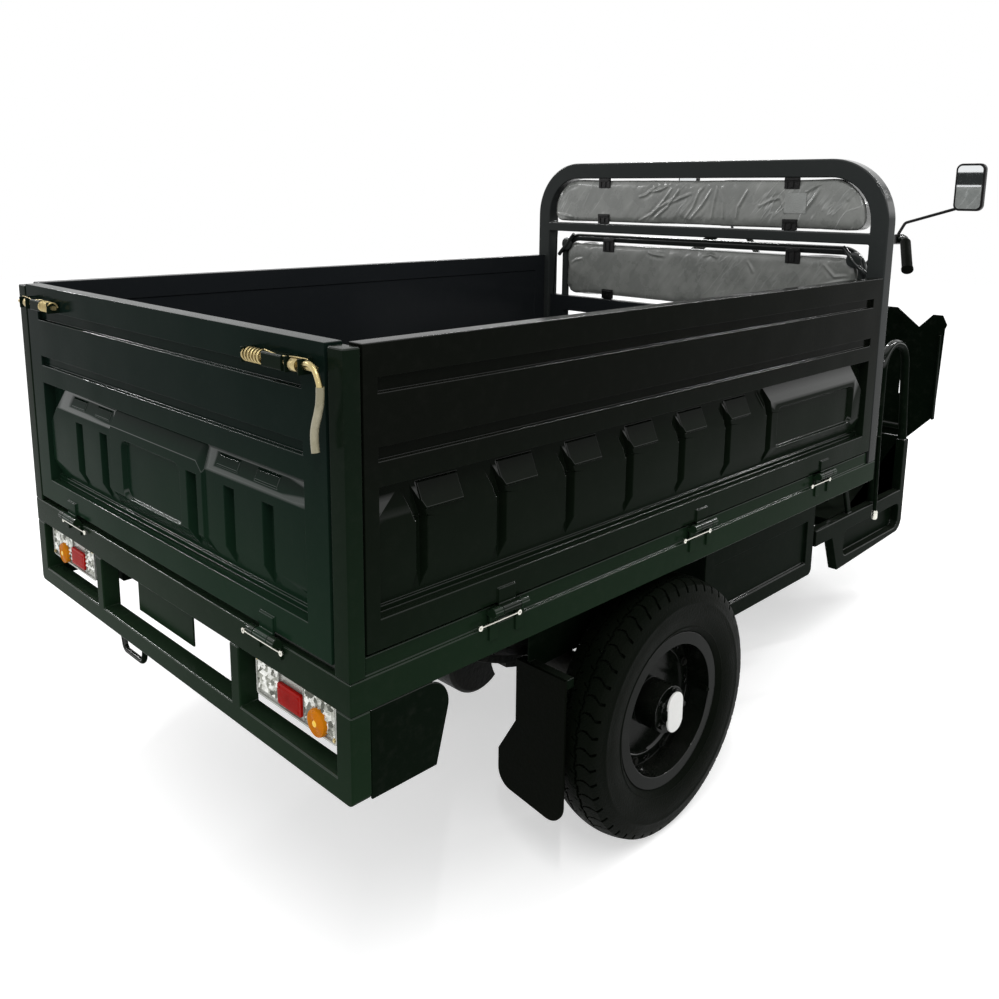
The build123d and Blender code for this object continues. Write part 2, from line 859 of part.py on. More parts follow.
def cushion_clips():
    # Black clips that hold the cushions to the bars above and below them.
    clips = Part()
    upper_x = upper_cushion_rear - cushion_seat_gap
    lower_x = lower_cushion_rear - cushion_seat_gap
    hoop_inner_top = hoop_top - hoop_tube_width
    for side in (-1, 1):
        y0 = side * clip_half_spacing - clip_width / 2
        y1 = y0 + clip_width
        clips += block(upper_x - clip_thickness, upper_x, y0, y1, hoop_inner_top - clip_height,
                       hoop_inner_top)
        bar_top = hoop_bar_centre + hoop_bar_height / 2
        clips += block(upper_x - clip_thickness, upper_x, y0, y1, bar_top, bar_top + clip_height)
        clips += block(lower_x - clip_thickness, lower_x, y0, y1, bulkhead_top, bulkhead_top + clip_height)
        rest_bottom = rest_bar_height - rest_tube_radius
        clips += block(lower_x - clip_thickness, lower_x, y0, y1, rest_bottom - clip_height,
                       rest_bar_height)
    return clips


def bumper_frame():
    # The rear frame below the sill: a lower beam and four posts.
    top = rail_bottom
    frame = block(0, bumper_tube, -half_width, half_width, bumper_bottom, bumper_bottom + bumper_tube)
    for side in (-1, 1):
        frame += block(0, bumper_tube, side * half_width, side * (half_width - post_width), bumper_bottom,
                       top)
        y0 = side * bumper_inner_post - bumper_inner_post_width / 2
        frame += block(0, bumper_tube, y0, y0 + bumper_inner_post_width, bumper_bottom, top)
    lower = frame.edges().filter_by(Axis.X).group_by(Axis.Z)[0]
    return fillet(lower, bumper_edge_radius)


def bumper_cheeks():
    # Side plates of the bumper, rounded at their lower front corner.
    with BuildSketch(Plane.XZ) as outline:
        with BuildLine():
            Polyline((bumper_tube, bumper_bottom), (cheek_length - cheek_slope_run, bumper_bottom),
                     (cheek_length, rail_bottom),
                     (bumper_tube, rail_bottom), close=True)
        make_face()
        corner = outline.vertices().group_by(Axis.Z)[0].sort_by(Axis.X)[-1]
        fillet(corner, cheek_corner_radius)
    plate = Pos(0, -half_width + cheek_thickness, 0) * extrude(outline.sketch, cheek_thickness)
    return both(plate)


def tail_lamp_bodies():
    y1 = -lamp_outer_edge
    y0 = y1 + lamp_width
    body = block(lamp_setback, lamp_setback + lamp_depth, y0, y1, rail_bottom - lamp_height, rail_bottom)
    body = fillet(body.edges().filter_by(Axis.X), lamp_corner_radius)
    return both(body)


lamp_centre = -lamp_outer_edge + lamp_width / 2
lamp_mid_height = rail_bottom - lamp_height / 2


def lamp_red_lenses():
    y = lamp_centre - red_lens_offset
    lens = block(lamp_setback - lens_thickness, lamp_setback, y - red_lens_width / 2,
                 y + red_lens_width / 2,
                 lamp_mid_height - red_lens_height / 2, lamp_mid_height + red_lens_height / 2)
    return both(lens)


def lamp_amber_lenses():
    y = lamp_centre - amber_lens_offset - red_lens_offset / 2
    lens = rod((lamp_setback - lens_thickness, y, lamp_mid_height), (lamp_setback, y, lamp_mid_height),
               amber_lens_radius)
    return both(lens)


def plate_bracket():
    y0 = plate_bracket_centre - plate_bracket_width / 2
    y1 = plate_bracket_centre + plate_bracket_width / 2
    sheet = block(bumper_tube - plate_bracket_thickness, bumper_tube, y0, y1,
                  rail_bottom - plate_bracket_height,
                  rail_bottom)
    for side in (-1, 1):
        y = plate_bracket_centre + side * plate_hole_spacing / 2
        z = rail_bottom - plate_hole_drop
        sheet -= rod((0, y, z), (2 * bumper_tube, y, z), plate_hole_radius)
    return sheet


def tow_loop():
    x = bumper_tube / 2
    y0 = loop_place - loop_span / 2
    y1 = loop_place + loop_span / 2
    low = bumper_bottom - loop_drop
    loop = bent_tube([(x, y0, bumper_bottom + loop_radius), (x, y0 + loop_foot_run, low),
                      (x, y1 - loop_foot_run, low),
                      (x, y1, bumper_bottom + loop_radius)], loop_radius * 2.5, loop_radius)
    return loop & block(0, bumper_tube, y0 - loop_span, y1 + loop_span, 0, bumper_bottom)


def ladder_frame():
    # Two long rails, cross tubes and the hangers of the leaf springs.
    rail = block(chassis_rear, chassis_front, -chassis_rail_place - chassis_rail_width / 2,
                 -chassis_rail_place + chassis_rail_width / 2, chassis_bottom, chassis_top)
    eye_z = spring_eye_height()
    for side in (-1, 1):
        x = rear_axle_place + side * leaf_half_span
        for edge in (-1, 1):
            y = -chassis_rail_place + edge * (chassis_rail_width + hanger_thickness) / 2
            rail += block(x - hanger_length / 2, x + hanger_length / 2, y - hanger_thickness / 2,
                          y + hanger_thickness / 2, eye_z - eye_radius, chassis_bottom + hanger_lap)
        reach = chassis_rail_width / 2 + hanger_thickness
        rail += cross_disc(x, eye_z, -chassis_rail_place - reach, -chassis_rail_place + reach,
                           eye_pin_radius)
    frame = both(rail)
    inner = chassis_rail_place - chassis_rail_width / 2
    mid = (chassis_bottom + chassis_top) / 2
    for x in cross_tube_places:
        frame += block(x - cross_tube_size / 2, x + cross_tube_size / 2, -inner, inner,
                       mid - cross_tube_size / 2,
                       mid + cross_tube_size / 2)
    return frame


def leaf_seat():
    return axle_z + axle_tube_radius


def spring_eye_height():
    return leaf_seat() + leaf_count * leaf_thickness + leaf_rise


def leaf_springs():
    # Curved leaves, the longest on top with a rolled eye at each end.
    chord = leaf_half_span
    inner_radius = (chord ** 2 + leaf_rise ** 2) / (2 * leaf_rise)
    top_z = leaf_seat() + leaf_count * leaf_thickness
    centre_z = top_z + inner_radius
    y0 = -chassis_rail_place - leaf_width / 2
    y1 = -chassis_rail_place + leaf_width / 2
    pack = Part()
    for step in range(leaf_count):
        reach = leaf_half_span - step * leaf_step
        ring = cross_disc(rear_axle_place, centre_z, y0, y1, inner_radius + (step + 1) * leaf_thickness)
        ring -= cross_disc(rear_axle_place, centre_z, y0 - 1, y1 + 1, inner_radius + step * leaf_thickness)
        pack += ring & block(rear_axle_place - reach, rear_axle_place + reach, y0, y1, 0, centre_z)
    eye_z = spring_eye_height()
    for side in (-1, 1):
        x = rear_axle_place + side * leaf_half_span
        pack += cross_disc(x, eye_z, y0, y1, eye_radius)
    for side in (-1, 1):
        x = rear_axle_place + side * leaf_half_span
        pack -= cross_disc(x, eye_z, y0 - 1, y1 + 1, eye_pin_radius + hinge_clearance)
    return both(pack)


def rear_axle():
    # Housing with the differential bulge, gear case, brake plates and wheel spindles.
    tube = cross_disc(rear_axle_place, axle_z, -axle_housing_half, axle_housing_half, axle_tube_radius)
    for y0, y1, radius in ((-diff_half_width, diff_half_width, diff_radius * case_radius_share),
                           (-diff_half_width / 2, diff_half_width / 2, diff_radius)):
        tube += cross_disc(rear_axle_place, axle_z, y0, y1, radius)
    tube += cross_disc(rear_axle_place - motor_setback, axle_z + motor_rise, 0, diff_half_width,
                       motor_radius * case_radius_share)
    tube += block(rear_axle_place - motor_setback, rear_axle_place, 0, diff_half_width, axle_z - case_drop,
                  axle_z + case_rise)
    for side in (-1, 1):
        tube += cross_disc(rear_axle_place, axle_z, side * (axle_housing_half - backing_plate_thickness),
                           side * axle_housing_half,
                           backing_plate_radius)
        tube += cross_disc(rear_axle_place, axle_z, side * axle_housing_half,
                           side * (rear_track_half + spindle_reach),
                           spindle_radius)
    return tube


def drive_motor():
    x = rear_axle_place - motor_setback
    z = axle_z + motor_rise
    motor = cross_disc(x, z, 0, -motor_length, motor_radius)
    motor = chamfer(motor.edges().filter_by(GeomType.CIRCLE), motor_edge)
    return motor - cross_disc(rear_axle_place, axle_z, motor_length, -2 * motor_length,
                              diff_radius + cushion_seat_gap)


def mud_flaps():
    # Rubber flaps behind the rear tyres, on the bars of the wheel shields, wider below the neck.
    outer = half_width - flap_outer_gap
    flap_top = rail_bottom - flap_top_drop
    inner = half_width - flap_inner_gap
    neck = half_width - flap_top_gap
    with BuildSketch(Plane.YZ) as outline:
        with BuildLine():
            Polyline((-outer, flap_top), (-outer, flap_bottom - flap_side_drop), (-inner, flap_bottom),
                     (-inner, rail_bottom - flap_shoulder_drop), (-neck, rail_bottom - flap_neck_drop),
                     (-neck, flap_top), close=True)
        make_face()
        low = outline.vertices().group_by(Axis.Y)[:2]
        corners = [corner for group in low for corner in group]
        fillet(corners, flap_corner_radius)
    flap = Pos(flap_place - flap_thickness / 2, 0, 0) * extrude(outline.sketch, flap_thickness)
    return both(flap)


def wheel_shields():
    # Upright sheets inside the rear tyres, under the bed, each with the bar that its flap hangs on.
    rear = flap_place + flap_thickness / 2
    top = rail_bottom - flap_top_drop
    shield = block(rear, rear + shield_plate_run, -shield_plate_place - shield_plate_thickness,
                   -shield_plate_place, shield_plate_bottom, rail_bottom)
    shield += block(rear, rear + flap_bar_size, -half_width + flap_outer_gap, -half_width + flap_top_gap,
                    top - flap_bar_size, top)
    return both(shield)


def tyre(radius, width, rim_half):
    # The section is drawn in radius and width, then turned around the axle.
    half = width / 2
    bead_half = rim_half - rim_wall - tyre_seat_gap
    bead_radius = rim_barrel_radius + tyre_seat_gap
    lip_radius = rim_flange_radius + tyre_seat_gap
    side_radius = (radius + rim_flange_radius) / 2
    shoulder = radius - tread_crown
    with BuildSketch(Plane.XY) as section:
        with BuildLine():
            crown = ThreePointArc((shoulder, -half * tread_share), (radius, 0),
                                  (shoulder, half * tread_share))
            upper = Spline([crown @ 1, (side_radius, half), (lip_radius, bead_half)])
            bead = Polyline(upper @ 1, (bead_radius, bead_half), (bead_radius, -bead_half),
                            (lip_radius, -bead_half))
            Spline([bead @ 1, (side_radius, -half), crown @ 0])
        make_face()
    return revolve(section.sketch, Axis.Y)


def rim_barrel(width):
    # Barrel with a flange at each edge, open through the middle.
    barrel = Cylinder(rim_flange_radius, width) - Cylinder(rim_barrel_radius - rim_wall, width + 2)
    return barrel - (Cylinder(rim_flange_radius + 1, width - 2 * rim_wall) - Cylinder(rim_barrel_radius,
                                                                                      width))


def rear_rim():
    # Drawn with its axle along Z and its outer face upward.
    inward = rear_track_half - axle_housing_half - drum_clearance
    disc_place = rim_width / 2 - rim_disc_setback
    wheel = rim_barrel(rim_width)
    wheel += Pos(0, 0, disc_place) * Cylinder(rim_barrel_radius - rim_wall / 2, rim_disc_thickness)
    wheel += Pos(0, 0, (disc_place - inward) / 2) * Cylinder(drum_radius, disc_place + inward)
    wheel += Pos(0, 0, (hub_face - inward) / 2) * Cylinder(hub_radius, hub_face + inward)
    wheel -= PolarLocations((drum_radius + rim_barrel_radius) / 2, wheel_hole_count) * (
        Pos(0, 0, disc_place) * Cylinder(wheel_hole_radius, rim_disc_thickness + 2))
    wheel += Pos(0, 0, hub_face + hub_cap_height / 2) * Cylinder(hub_cap_radius, hub_cap_height)
    for place in PolarLocations(lug_circle, lug_count):
        wheel += place * (Pos(0, 0, hub_face + lug_height / 2) * Cylinder(lug_radius, lug_height))
    bore_depth = inward + spindle_reach + 2
    return wheel - Pos(0, 0, bore_depth / 2 - inward) * Cylinder(spindle_radius + spindle_clearance,
                                                                 bore_depth)


def turn_wheel(part, side):
    # Lay a wheel's axle along Y, its outer face towards the given side.
    return Rot(X=-90 * side) * part


def rear_wheel_nodes():
    nodes = {}
    rim_body = rear_rim()
    rubber = tyre(rear_tyre_radius, rear_tyre_width, rim_width / 2)
    for name, side in (("left", 1), ("right", -1)):
        place = Pos(rear_axle_place, side * rear_track_half, axle_z)
        nodes["rear_rim_" + name] = place * turn_wheel(rim_body, side)
        nodes["rear_tyre_" + name] = place * rubber
    return nodes


def front_rim():
    wheel = rim_barrel(front_rim_width)
    wheel += Cylinder(rim_barrel_radius - rim_wall / 2, rim_disc_thickness)
    wheel += Cylinder(hub_radius, 2 * front_hub_half)
    wheel -= PolarLocations((hub_radius + rim_barrel_radius) / 2, wheel_hole_count) * Cylinder(
        front_hole_radius, rim_disc_thickness + 2)
    wheel -= Cylinder(front_axle_radius + spindle_clearance, 2 * front_hub_half + 2)
    return Pos(front_wheel.X, 0, front_wheel.Z) * turn_wheel(wheel, -1)


def front_tyre():
    return Pos(front_wheel.X, 0, front_wheel.Z) * tyre(front_tyre_radius, front_tyre_width,
                                                       front_rim_width / 2)


def battery_box():
    # A box hung on straps under the chassis, with a pressed panel in each side.
    box = block(battery_rear, battery_front, -battery_half_width, battery_half_width, battery_bottom,
                battery_top)
    box = fillet(box.edges().filter_by(Axis.Y).group_by(Axis.Z)[0], battery_corner_radius)
    for side in (-1, 1):
        y = side * battery_half_width
        box -= block(battery_rear + battery_margin, battery_front - battery_margin, y,
                     y - side * battery_recess_depth, battery_bottom + battery_margin,
                     battery_top - battery_margin)
        y0 = side * (chassis_rail_place - chassis_rail_width / 2)
        y1 = side * (chassis_rail_place + chassis_rail_width / 2)
        for x in (battery_rear + battery_strap_inset, battery_front - battery_strap_inset
                  - battery_strap_width):
            box += block(x, x + battery_strap_width, y0, y1, battery_top, chassis_bottom)
    return box


def seat_base():
    base = block(seat_rear, seat_front, -seat_half_width, seat_half_width, chassis_top, seat_base_top)
    base += block(seat_front - seat_panel_thickness, seat_front, -seat_half_width, seat_half_width,
                  footboard_top,
                  chassis_top)
    return fillet(base.edges().filter_by(Axis.Z), seat_base_radius)


def seat_cushion():
    pad = block(seat_rear, seat_front + 2 * seat_cushion_lap, -seat_half_width - seat_cushion_lap,
                seat_half_width + seat_cushion_lap, seat_base_top, seat_base_top + seat_cushion_height)
    pad = fillet(pad.edges().filter_by(Axis.Z), seat_cushion_radius)
    return fillet(pad.edges().group_by(Axis.Z)[-1], seat_cushion_edge)


def footboard():
    # The floor of the driver's step and a toe board that rises behind the leg shield.
    half = footboard_half_width
    board = block(footboard_rear, footboard_front, -half, half, footboard_top - footboard_thickness,
                  footboard_top)
    board += block(footboard_front - toe_board_thickness, footboard_front, -half, half, footboard_top,
                   toe_board_top)
    return board


def step_frames():
    # Side skirts of the driver's step, backed in their lower opening, each with a grab hoop.
    tube = step_frame_tube
    lip = footboard_top + step_frame_lip
    rear = footboard_rear - skirt_setback
    with BuildSketch(Plane.XZ) as outline:
        with BuildLine():
            Polyline((footboard_rear, step_frame_bottom),
                     (footboard_front, step_frame_bottom + step_frame_tilt),
                     (footboard_front, step_frame_rise), (footboard_front - tube, step_frame_rise),
                     (footboard_front - tube, lip), (rear, lip), (rear, skirt_bottom),
                     (footboard_rear - skirt_arch, skirt_bottom), close=True)
        make_face()
        fillet(outline.vertices().sort_by(Axis.X)[-2:].sort_by(Axis.Y)[0], step_corner_radius)
    opening = Pos((footboard_rear + footboard_front) / 2, (step_frame_bottom + footboard_top)
                  / 2) * RectangleRounded(
        footboard_length - 2 * tube, footboard_top - step_frame_bottom - 2 * tube, step_recess_radius)
    y_face = -footboard_half_width
    plate = Pos(0, y_face, 0) * extrude(outline.sketch, step_frame_width)
    plate -= Pos(0, y_face - step_backing, 0) * extrude(Plane.XZ * opening, step_frame_width)
    y_mid = y_face - step_frame_width / 2
    brace = Polygon((0, 0), (brace_width, 0), (brace_width - brace_run,
                                               step_frame_rise - brace_foot + tube),
                    (-brace_run, step_frame_rise - brace_foot + tube), align=None)
    plate += Pos(footboard_rear + brace_run, y_face - step_frame_width / 3, brace_foot - tube) * extrude(
        Plane.XZ * brace, step_frame_width / 3)
    hoop = bent_tube([(step_post_place, y_mid, footboard_top), (step_post_place, y_mid, guard_top),
                      (footboard_front - guard_front_setback, y_mid, guard_top - guard_drop),
                      (footboard_front - guard_foot_setback, y_mid, step_frame_rise - guard_tube_radius)],
                     guard_radius, guard_tube_radius)
    return both(plate + hoop)


def front_frame():
    # Two tubes under the footboard, the down tube and the head tube.
    low = footboard_top - footboard_thickness - frame_tube_radius
    start_z = chassis_bottom - frame_cross_radius
    down_place = footboard_front + down_tube_radius + down_tube_clearance
    ramp_start = battery_front + frame_ramp_gap
    ramp_end = footboard_rear - frame_ramp_gap
    side = bent_tube([(battery_front + frame_tube_radius, -frame_tube_place, start_z),
                      (ramp_start, -frame_tube_place, start_z), (ramp_end, -frame_tube_place, low),
                      (down_place, -frame_tube_place, low)], frame_bend_radius, frame_tube_radius)
    frame = both(side)
    reach = frame_tube_place + 2 * frame_tube_radius
    frame += cross_disc(down_place, low, -reach, reach, frame_cross_radius)
    frame += cross_disc(battery_front + 2 * frame_tube_radius, chassis_bottom - frame_cross_radius,
                        -chassis_rail_place, chassis_rail_place, frame_cross_radius)
    head_top = steer_point(steer_height - head_tube_drop)
    head_bottom = head_top + steer_axis * head_tube_length
    join = head_top + steer_axis * (head_tube_length * down_tube_join_share)
    foot = Vector(down_place, 0, low)
    frame += rod(foot, join, down_tube_radius)
    frame += rod(head_top, head_bottom, head_tube_radius)
    frame -= rod(head_top - steer_axis * stem_radius, head_bottom + steer_axis * stem_radius,
                 stem_radius + spindle_clearance)
    cross_z = (shield_bottom + shield_strip_top) / 2
    cross_x = shield_place - shield_cross_radius
    frame += cross_disc(cross_x, cross_z, -shield_half_width + shield_cross_setback,
                        shield_half_width - shield_cross_setback, shield_cross_radius)
    stay = foot + (join - foot) * ((cross_z - low) / (join.Z - low))
    frame += rod(stay, (cross_x, 0, cross_z), shield_stay_radius)
    return frame


def leg_shield():
    # A wing on each side of the steering, notched at its top and joined by a strip below it.
    outer = -shield_half_width
    with BuildSketch(Plane.YZ) as outline:
        with BuildLine():
            Polyline((0, shield_bottom), (outer + shield_foot_run, shield_bottom),
                     (outer + shield_foot_inset, shield_bottom + shield_foot_rise),
                     (outer + shield_waist_inset, shield_top - shield_notch_depth),
                     (outer, shield_top - shield_notch_depth + shield_tip_drop),
                     (outer + shield_tip_run, shield_top - shield_tip_drop),
                     (outer + shield_tip_run + shield_horn_width, shield_top - shield_tip_drop),
                     (outer + shield_notch_place, shield_top - shield_notch_depth),
                     (outer + shield_inner_run, shield_top), (-shield_gap_half, shield_top),
                     (-shield_gap_half, shield_strip_top), (0, shield_strip_top), close=True)
        make_face()
    wing = extrude(outline.sketch, shield_thickness)
    wing -= block(-shield_thickness, 2 * shield_thickness, outer + shield_hole_place,
                  outer + shield_hole_place + shield_hole_width, shield_hole_height - shield_hole_length
                  / 2,
                  shield_hole_height + shield_hole_length / 2)
    rib_y = outer + 2 * shield_waist_inset
    rib_z = (shield_bottom + shield_top) / 2
    wing += block(-shield_rib_depth, 0, rib_y, rib_y + shield_rib_width, rib_z - shield_rib_length / 2,
                  rib_z + shield_rib_length / 2)
    return Pos(shield_place, 0, 0) * both(wing)


def fork():
    # Stem, two crowns and two telescopic legs, all along the steering axis.
    head_top = steer_point(steer_height - head_tube_drop)
    lower = head_top + steer_axis * (head_tube_length + crown_gap + crown_thickness / 2)
    upper = head_top - steer_axis * (crown_gap + crown_thickness / 2)
    clamp = steer_point(bar_height)
    body = rod(lower, clamp, stem_radius)
    half = fork_half_spacing + fork_leg_radius + crown_side
    for centre in (lower, upper):
        crown_plane = Plane(origin=centre + steer_normal * (fork_offset / 2), x_dir=steer_normal,
                            z_dir=steer_axis)
        body += crown_plane * Box(crown_depth, 2 * half, crown_thickness)
    for side in (-1, 1):
        shift = steer_normal * fork_offset + Vector(0, side * fork_half_spacing, 0)
        wheel_end = Vector(front_wheel.X, side * fork_half_spacing, front_wheel.Z)
        body += rod(upper + shift - steer_axis * fork_top_reach, wheel_end, fork_tube_radius)
        body += rod(wheel_end - steer_axis * fork_leg_length, wheel_end + steer_axis * fork_end_reach,
                    fork_leg_radius)
    axle_half = fork_half_spacing + front_axle_reach
    body += cross_disc(front_wheel.X, front_wheel.Z, -axle_half, axle_half, front_axle_radius)
    lamp_x, lamp_z = headlamp_axis()
    body += rod((upper.X, 0, lamp_z), (lamp_x, 0, lamp_z), headlamp_stay_radius)
    clamp_plane = Plane(origin=clamp, x_dir=steer_normal, z_dir=steer_axis)
    body += clamp_plane * Box(bar_clamp_depth, 2 * bar_clamp_half, bar_clamp_height)
    body -= cross_disc(clamp.X, clamp.Z, -2 * bar_clamp_half, 2 * bar_clamp_half,
                       bar_radius + spindle_clearance)
    return body


def front_mudguard():
    inner = mudguard_radius - mudguard_thickness
    half = fork_half_spacing - fork_leg_radius - tyre_seat_gap
    shell = Cylinder(mudguard_radius, 2 * half) - Cylinder(inner, 2 * half - 2 * mudguard_thickness)
    shell -= Cylinder(mudguard_radius - mudguard_side, 2 * half + 2)
    shell = Rot(X=90) * shell
    far = 3 * mudguard_radius
    a0 = math.radians(mudguard_front_angle)
    a1 = math.radians(mudguard_rear_angle)
    with BuildSketch(Plane.XZ) as wedge:
        with BuildLine():
            Polyline((0, 0), (far * math.cos(a0), far * math.sin(a0)), (0, far), (-far, far),
                     (far * math.cos(a1), far * math.sin(a1)), close=True)
        make_face()
    keep = Pos(0, far, 0) * extrude(wedge.sketch, 2 * far)
    return Pos(front_wheel.X, 0, front_wheel.Z) * (shell & keep)


clamp_centre = steer_point(bar_height)
bar_knee = Vector(clamp_centre.X + bar_knee_reach, -bar_knee_half, bar_height + bar_knee_rise)
bar_hand = Vector(clamp_centre.X - bar_hand_back, -bar_hand_half, bar_height + bar_hand_rise)
grip_end = Vector(clamp_centre.X - grip_end_back, -grip_end_half, bar_height + grip_end_rise)


def handlebar():
    points = [(p.X, p.Y, p.Z) for p in (grip_end, bar_hand, bar_knee)]
    points += [(clamp_centre.X, -bar_centre_half, bar_height)]
    points += [(x, -y, z) for x, y, z in reversed(points)]
    return bent_tube(points, bar_bend_radius, bar_radius)


def grips():
    way = (bar_hand - grip_end).normalized()
    start = grip_end - way * grip_end_gap
    grip = rod(start, grip_end + way * grip_length, grip_radius)
    grip -= rod(grip_end, grip_end + way * (grip_length + grip_radius), bar_radius + spindle_clearance)
    grip += rod(start - way * grip_knob, start, grip_radius + grip_knob_rise)
    return both(grip)


def mirrors():
    # Each mirror head on a cranked stalk from a perch around the handlebar.
    way = (bar_knee - bar_hand).normalized()
    seat = bar_hand + way * mirror_perch_place
    perch = Plane(origin=seat, z_dir=way) * Box(mirror_perch, mirror_perch, mirror_perch)
    perch -= rod(seat - way * mirror_perch, seat + way * mirror_perch, bar_radius + spindle_clearance)
    foot = seat + Vector(0, 0, mirror_perch / 2)
    base = Vector(mirror_place + mirror_depth / 2, -mirror_centre + mirror_width / 2 - mirror_socket,
                  mirror_base + mirror_socket_rise)
    knee = foot + Vector(mirror_stalk_run, -mirror_stalk_side, mirror_stalk_rise)
    stalk = bent_tube([tuple(foot), tuple(knee), tuple(base)], mirror_stalk_bend, mirror_stalk_radius)
    head = block(mirror_place, mirror_place + mirror_depth, -mirror_centre - mirror_width / 2,
                 -mirror_centre + mirror_width / 2, mirror_base, mirror_base + mirror_height)
    head = fillet(head.edges().filter_by(Axis.X), mirror_corner_radius)
    return both(head + stalk + perch)


def mirror_glass():
    pane = block(mirror_place - mirror_glass_thickness, mirror_place, -mirror_centre - mirror_width / 2
                 + mirror_frame,
                 -mirror_centre + mirror_width / 2 - mirror_frame, mirror_base + mirror_frame,
                 mirror_base + mirror_height - mirror_frame)
    return both(fillet(pane.edges().filter_by(Axis.X), mirror_glass_radius))


def headlamp_axis():
    # Where the back of the lamp shell meets its stay from the upper crown.
    crown = steer_point(steer_height - head_tube_drop) - steer_axis * (crown_gap + crown_thickness / 2)
    return crown.X + fork_offset + headlamp_reach, crown.Z + headlamp_rise


def headlamp():
    x, z = headlamp_axis()
    return Plane(origin=(x, 0, z), z_dir=(1, 0, 0)) * loft(
        Sketch() + [Circle(headlamp_back_radius), Pos(0, 0, headlamp_length) * Circle(headlamp_radius)])


def headlamp_lens():
    x, z = headlamp_axis()
    lens = rod((x + headlamp_length, 0, z), (x + headlamp_length + headlamp_lens_thickness, 0, z),
               headlamp_radius)
    return fillet(lens.edges().group_by(Axis.X)[-1], headlamp_lens_edge)


def main():
    os.makedirs("parts", exist_ok=True)
    right_side = stand_side(side_panel()) + side_leaves()
    nodes = {
        "ladder_frame": ladder_frame(),
        "front_frame": front_frame(),
        "bed_frame": bed_frame(),
        "cargo_floor": cargo_floor(),
        "corner_posts": corner_posts(),
        "front_bulkhead": front_bulkhead(),
        "head_hoop": head_hoop(),
        "backrest_frame": backrest_frame(),
        "upper_cushion": upper_cushion(),
        "lower_cushion": lower_cushion(),
        "cushion_clips": cushion_clips(),
        "bumper_frame": bumper_frame(),
        "bumper_cheeks": bumper_cheeks(),
        "tail_lamp_bodies": tail_lamp_bodies(),
        "lamp_red_lenses": lamp_red_lenses(),
        "lamp_amber_lenses": lamp_amber_lenses(),
        "plate_bracket": plate_bracket(),
        "tow_loop": tow_loop(),
        "hinge_pins": hinge_pins(),
        "leaf_springs": leaf_springs(),
        "rear_axle": rear_axle(),
        "drive_motor": drive_motor(),
        "mud_flaps": mud_flaps(),
        "wheel_shields": wheel_shields(),
        "battery_box": battery_box(),
        "seat_base": seat_base(),
        "seat_cushion": seat_cushion(),
        "footboard": footboard(),
        "step_frames": step_frames(),
        "leg_shield": leg_shield(),
        "fork": fork(),
        "front_mudguard": front_mudguard(),
        "handlebar": handlebar(),
        "grips": grips(),
        "mirrors": mirrors(),
        "mirror_glass": mirror_glass(),
        "headlamp": headlamp(),
        "headlamp_lens": headlamp_lens(),
        "front_rim": front_rim(),
        "front_tyre": front_tyre(),
        "tailgate": stand_gate(gate_panel()) + gate_leaves(),
        "tailgate_latches": tailgate_latches(),
        "side_right": right_side,
        "side_left": mirrored(right_side),
    }
    nodes.update(rear_wheel_nodes())
    for name, part in nodes.items():
        export_step(Pos(-middle, 0, 0) * part, "parts/" + name + ".step")
    print("middle", round(middle, 3), "front wheel", front_wheel)


main()
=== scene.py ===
import bpy
import json
import math
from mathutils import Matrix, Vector

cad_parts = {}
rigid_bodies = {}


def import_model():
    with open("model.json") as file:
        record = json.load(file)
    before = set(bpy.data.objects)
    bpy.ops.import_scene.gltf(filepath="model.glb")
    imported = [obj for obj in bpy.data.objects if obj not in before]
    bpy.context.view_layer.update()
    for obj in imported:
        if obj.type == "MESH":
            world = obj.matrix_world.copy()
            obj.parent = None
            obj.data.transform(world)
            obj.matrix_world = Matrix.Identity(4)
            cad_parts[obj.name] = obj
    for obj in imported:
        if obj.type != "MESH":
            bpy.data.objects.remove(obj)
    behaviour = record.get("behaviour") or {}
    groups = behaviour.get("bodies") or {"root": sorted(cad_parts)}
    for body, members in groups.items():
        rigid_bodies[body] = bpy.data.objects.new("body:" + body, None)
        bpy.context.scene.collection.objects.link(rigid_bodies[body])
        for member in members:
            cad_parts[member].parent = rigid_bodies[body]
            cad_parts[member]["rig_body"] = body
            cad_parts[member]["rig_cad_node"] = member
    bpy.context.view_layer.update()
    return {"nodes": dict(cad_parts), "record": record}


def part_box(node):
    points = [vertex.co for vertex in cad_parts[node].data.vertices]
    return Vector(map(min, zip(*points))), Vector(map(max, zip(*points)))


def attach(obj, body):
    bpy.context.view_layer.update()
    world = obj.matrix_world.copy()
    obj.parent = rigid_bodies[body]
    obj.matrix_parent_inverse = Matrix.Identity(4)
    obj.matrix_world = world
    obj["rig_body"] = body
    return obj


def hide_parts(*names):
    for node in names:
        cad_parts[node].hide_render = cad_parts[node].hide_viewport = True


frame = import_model()
bpy.ops.object.select_all(action='DESELECT')
scene = bpy.context.scene
bedRear = 1.612347
print("frame loaded")


def pick(obj):
    # the only selected and active object
    bpy.ops.object.select_all(action='DESELECT')
    obj.select_set(True)
    bpy.context.view_layer.objects.active = obj


def applyAll(obj):
    pick(obj)
    for mod in list(obj.modifiers):
        bpy.ops.object.modifier_apply(modifier=mod.name)


def setAll(owner, **settings):
    for label, value in settings.items():
        setattr(owner, label, value)


def modified(obj, kind, **settings):
    # a modifier with its settings, applied at once
    setAll(obj.modifiers.new(kind, kind), **settings)
    applyAll(obj)


def setMode(mode):
    bpy.ops.object.mode_set(mode=mode)


def settle(obj):
    # the place goes into the mesh
    pick(obj)
    bpy.ops.object.transform_apply(location=True, rotation=True, scale=True)


def named(name):
    obj = bpy.context.active_object
    obj.name = name
    obj.data.name = name
    return obj


def smooth(obj, angle=35):
    pick(obj)
    bpy.ops.object.shade_smooth_by_angle(angle=math.radians(angle))


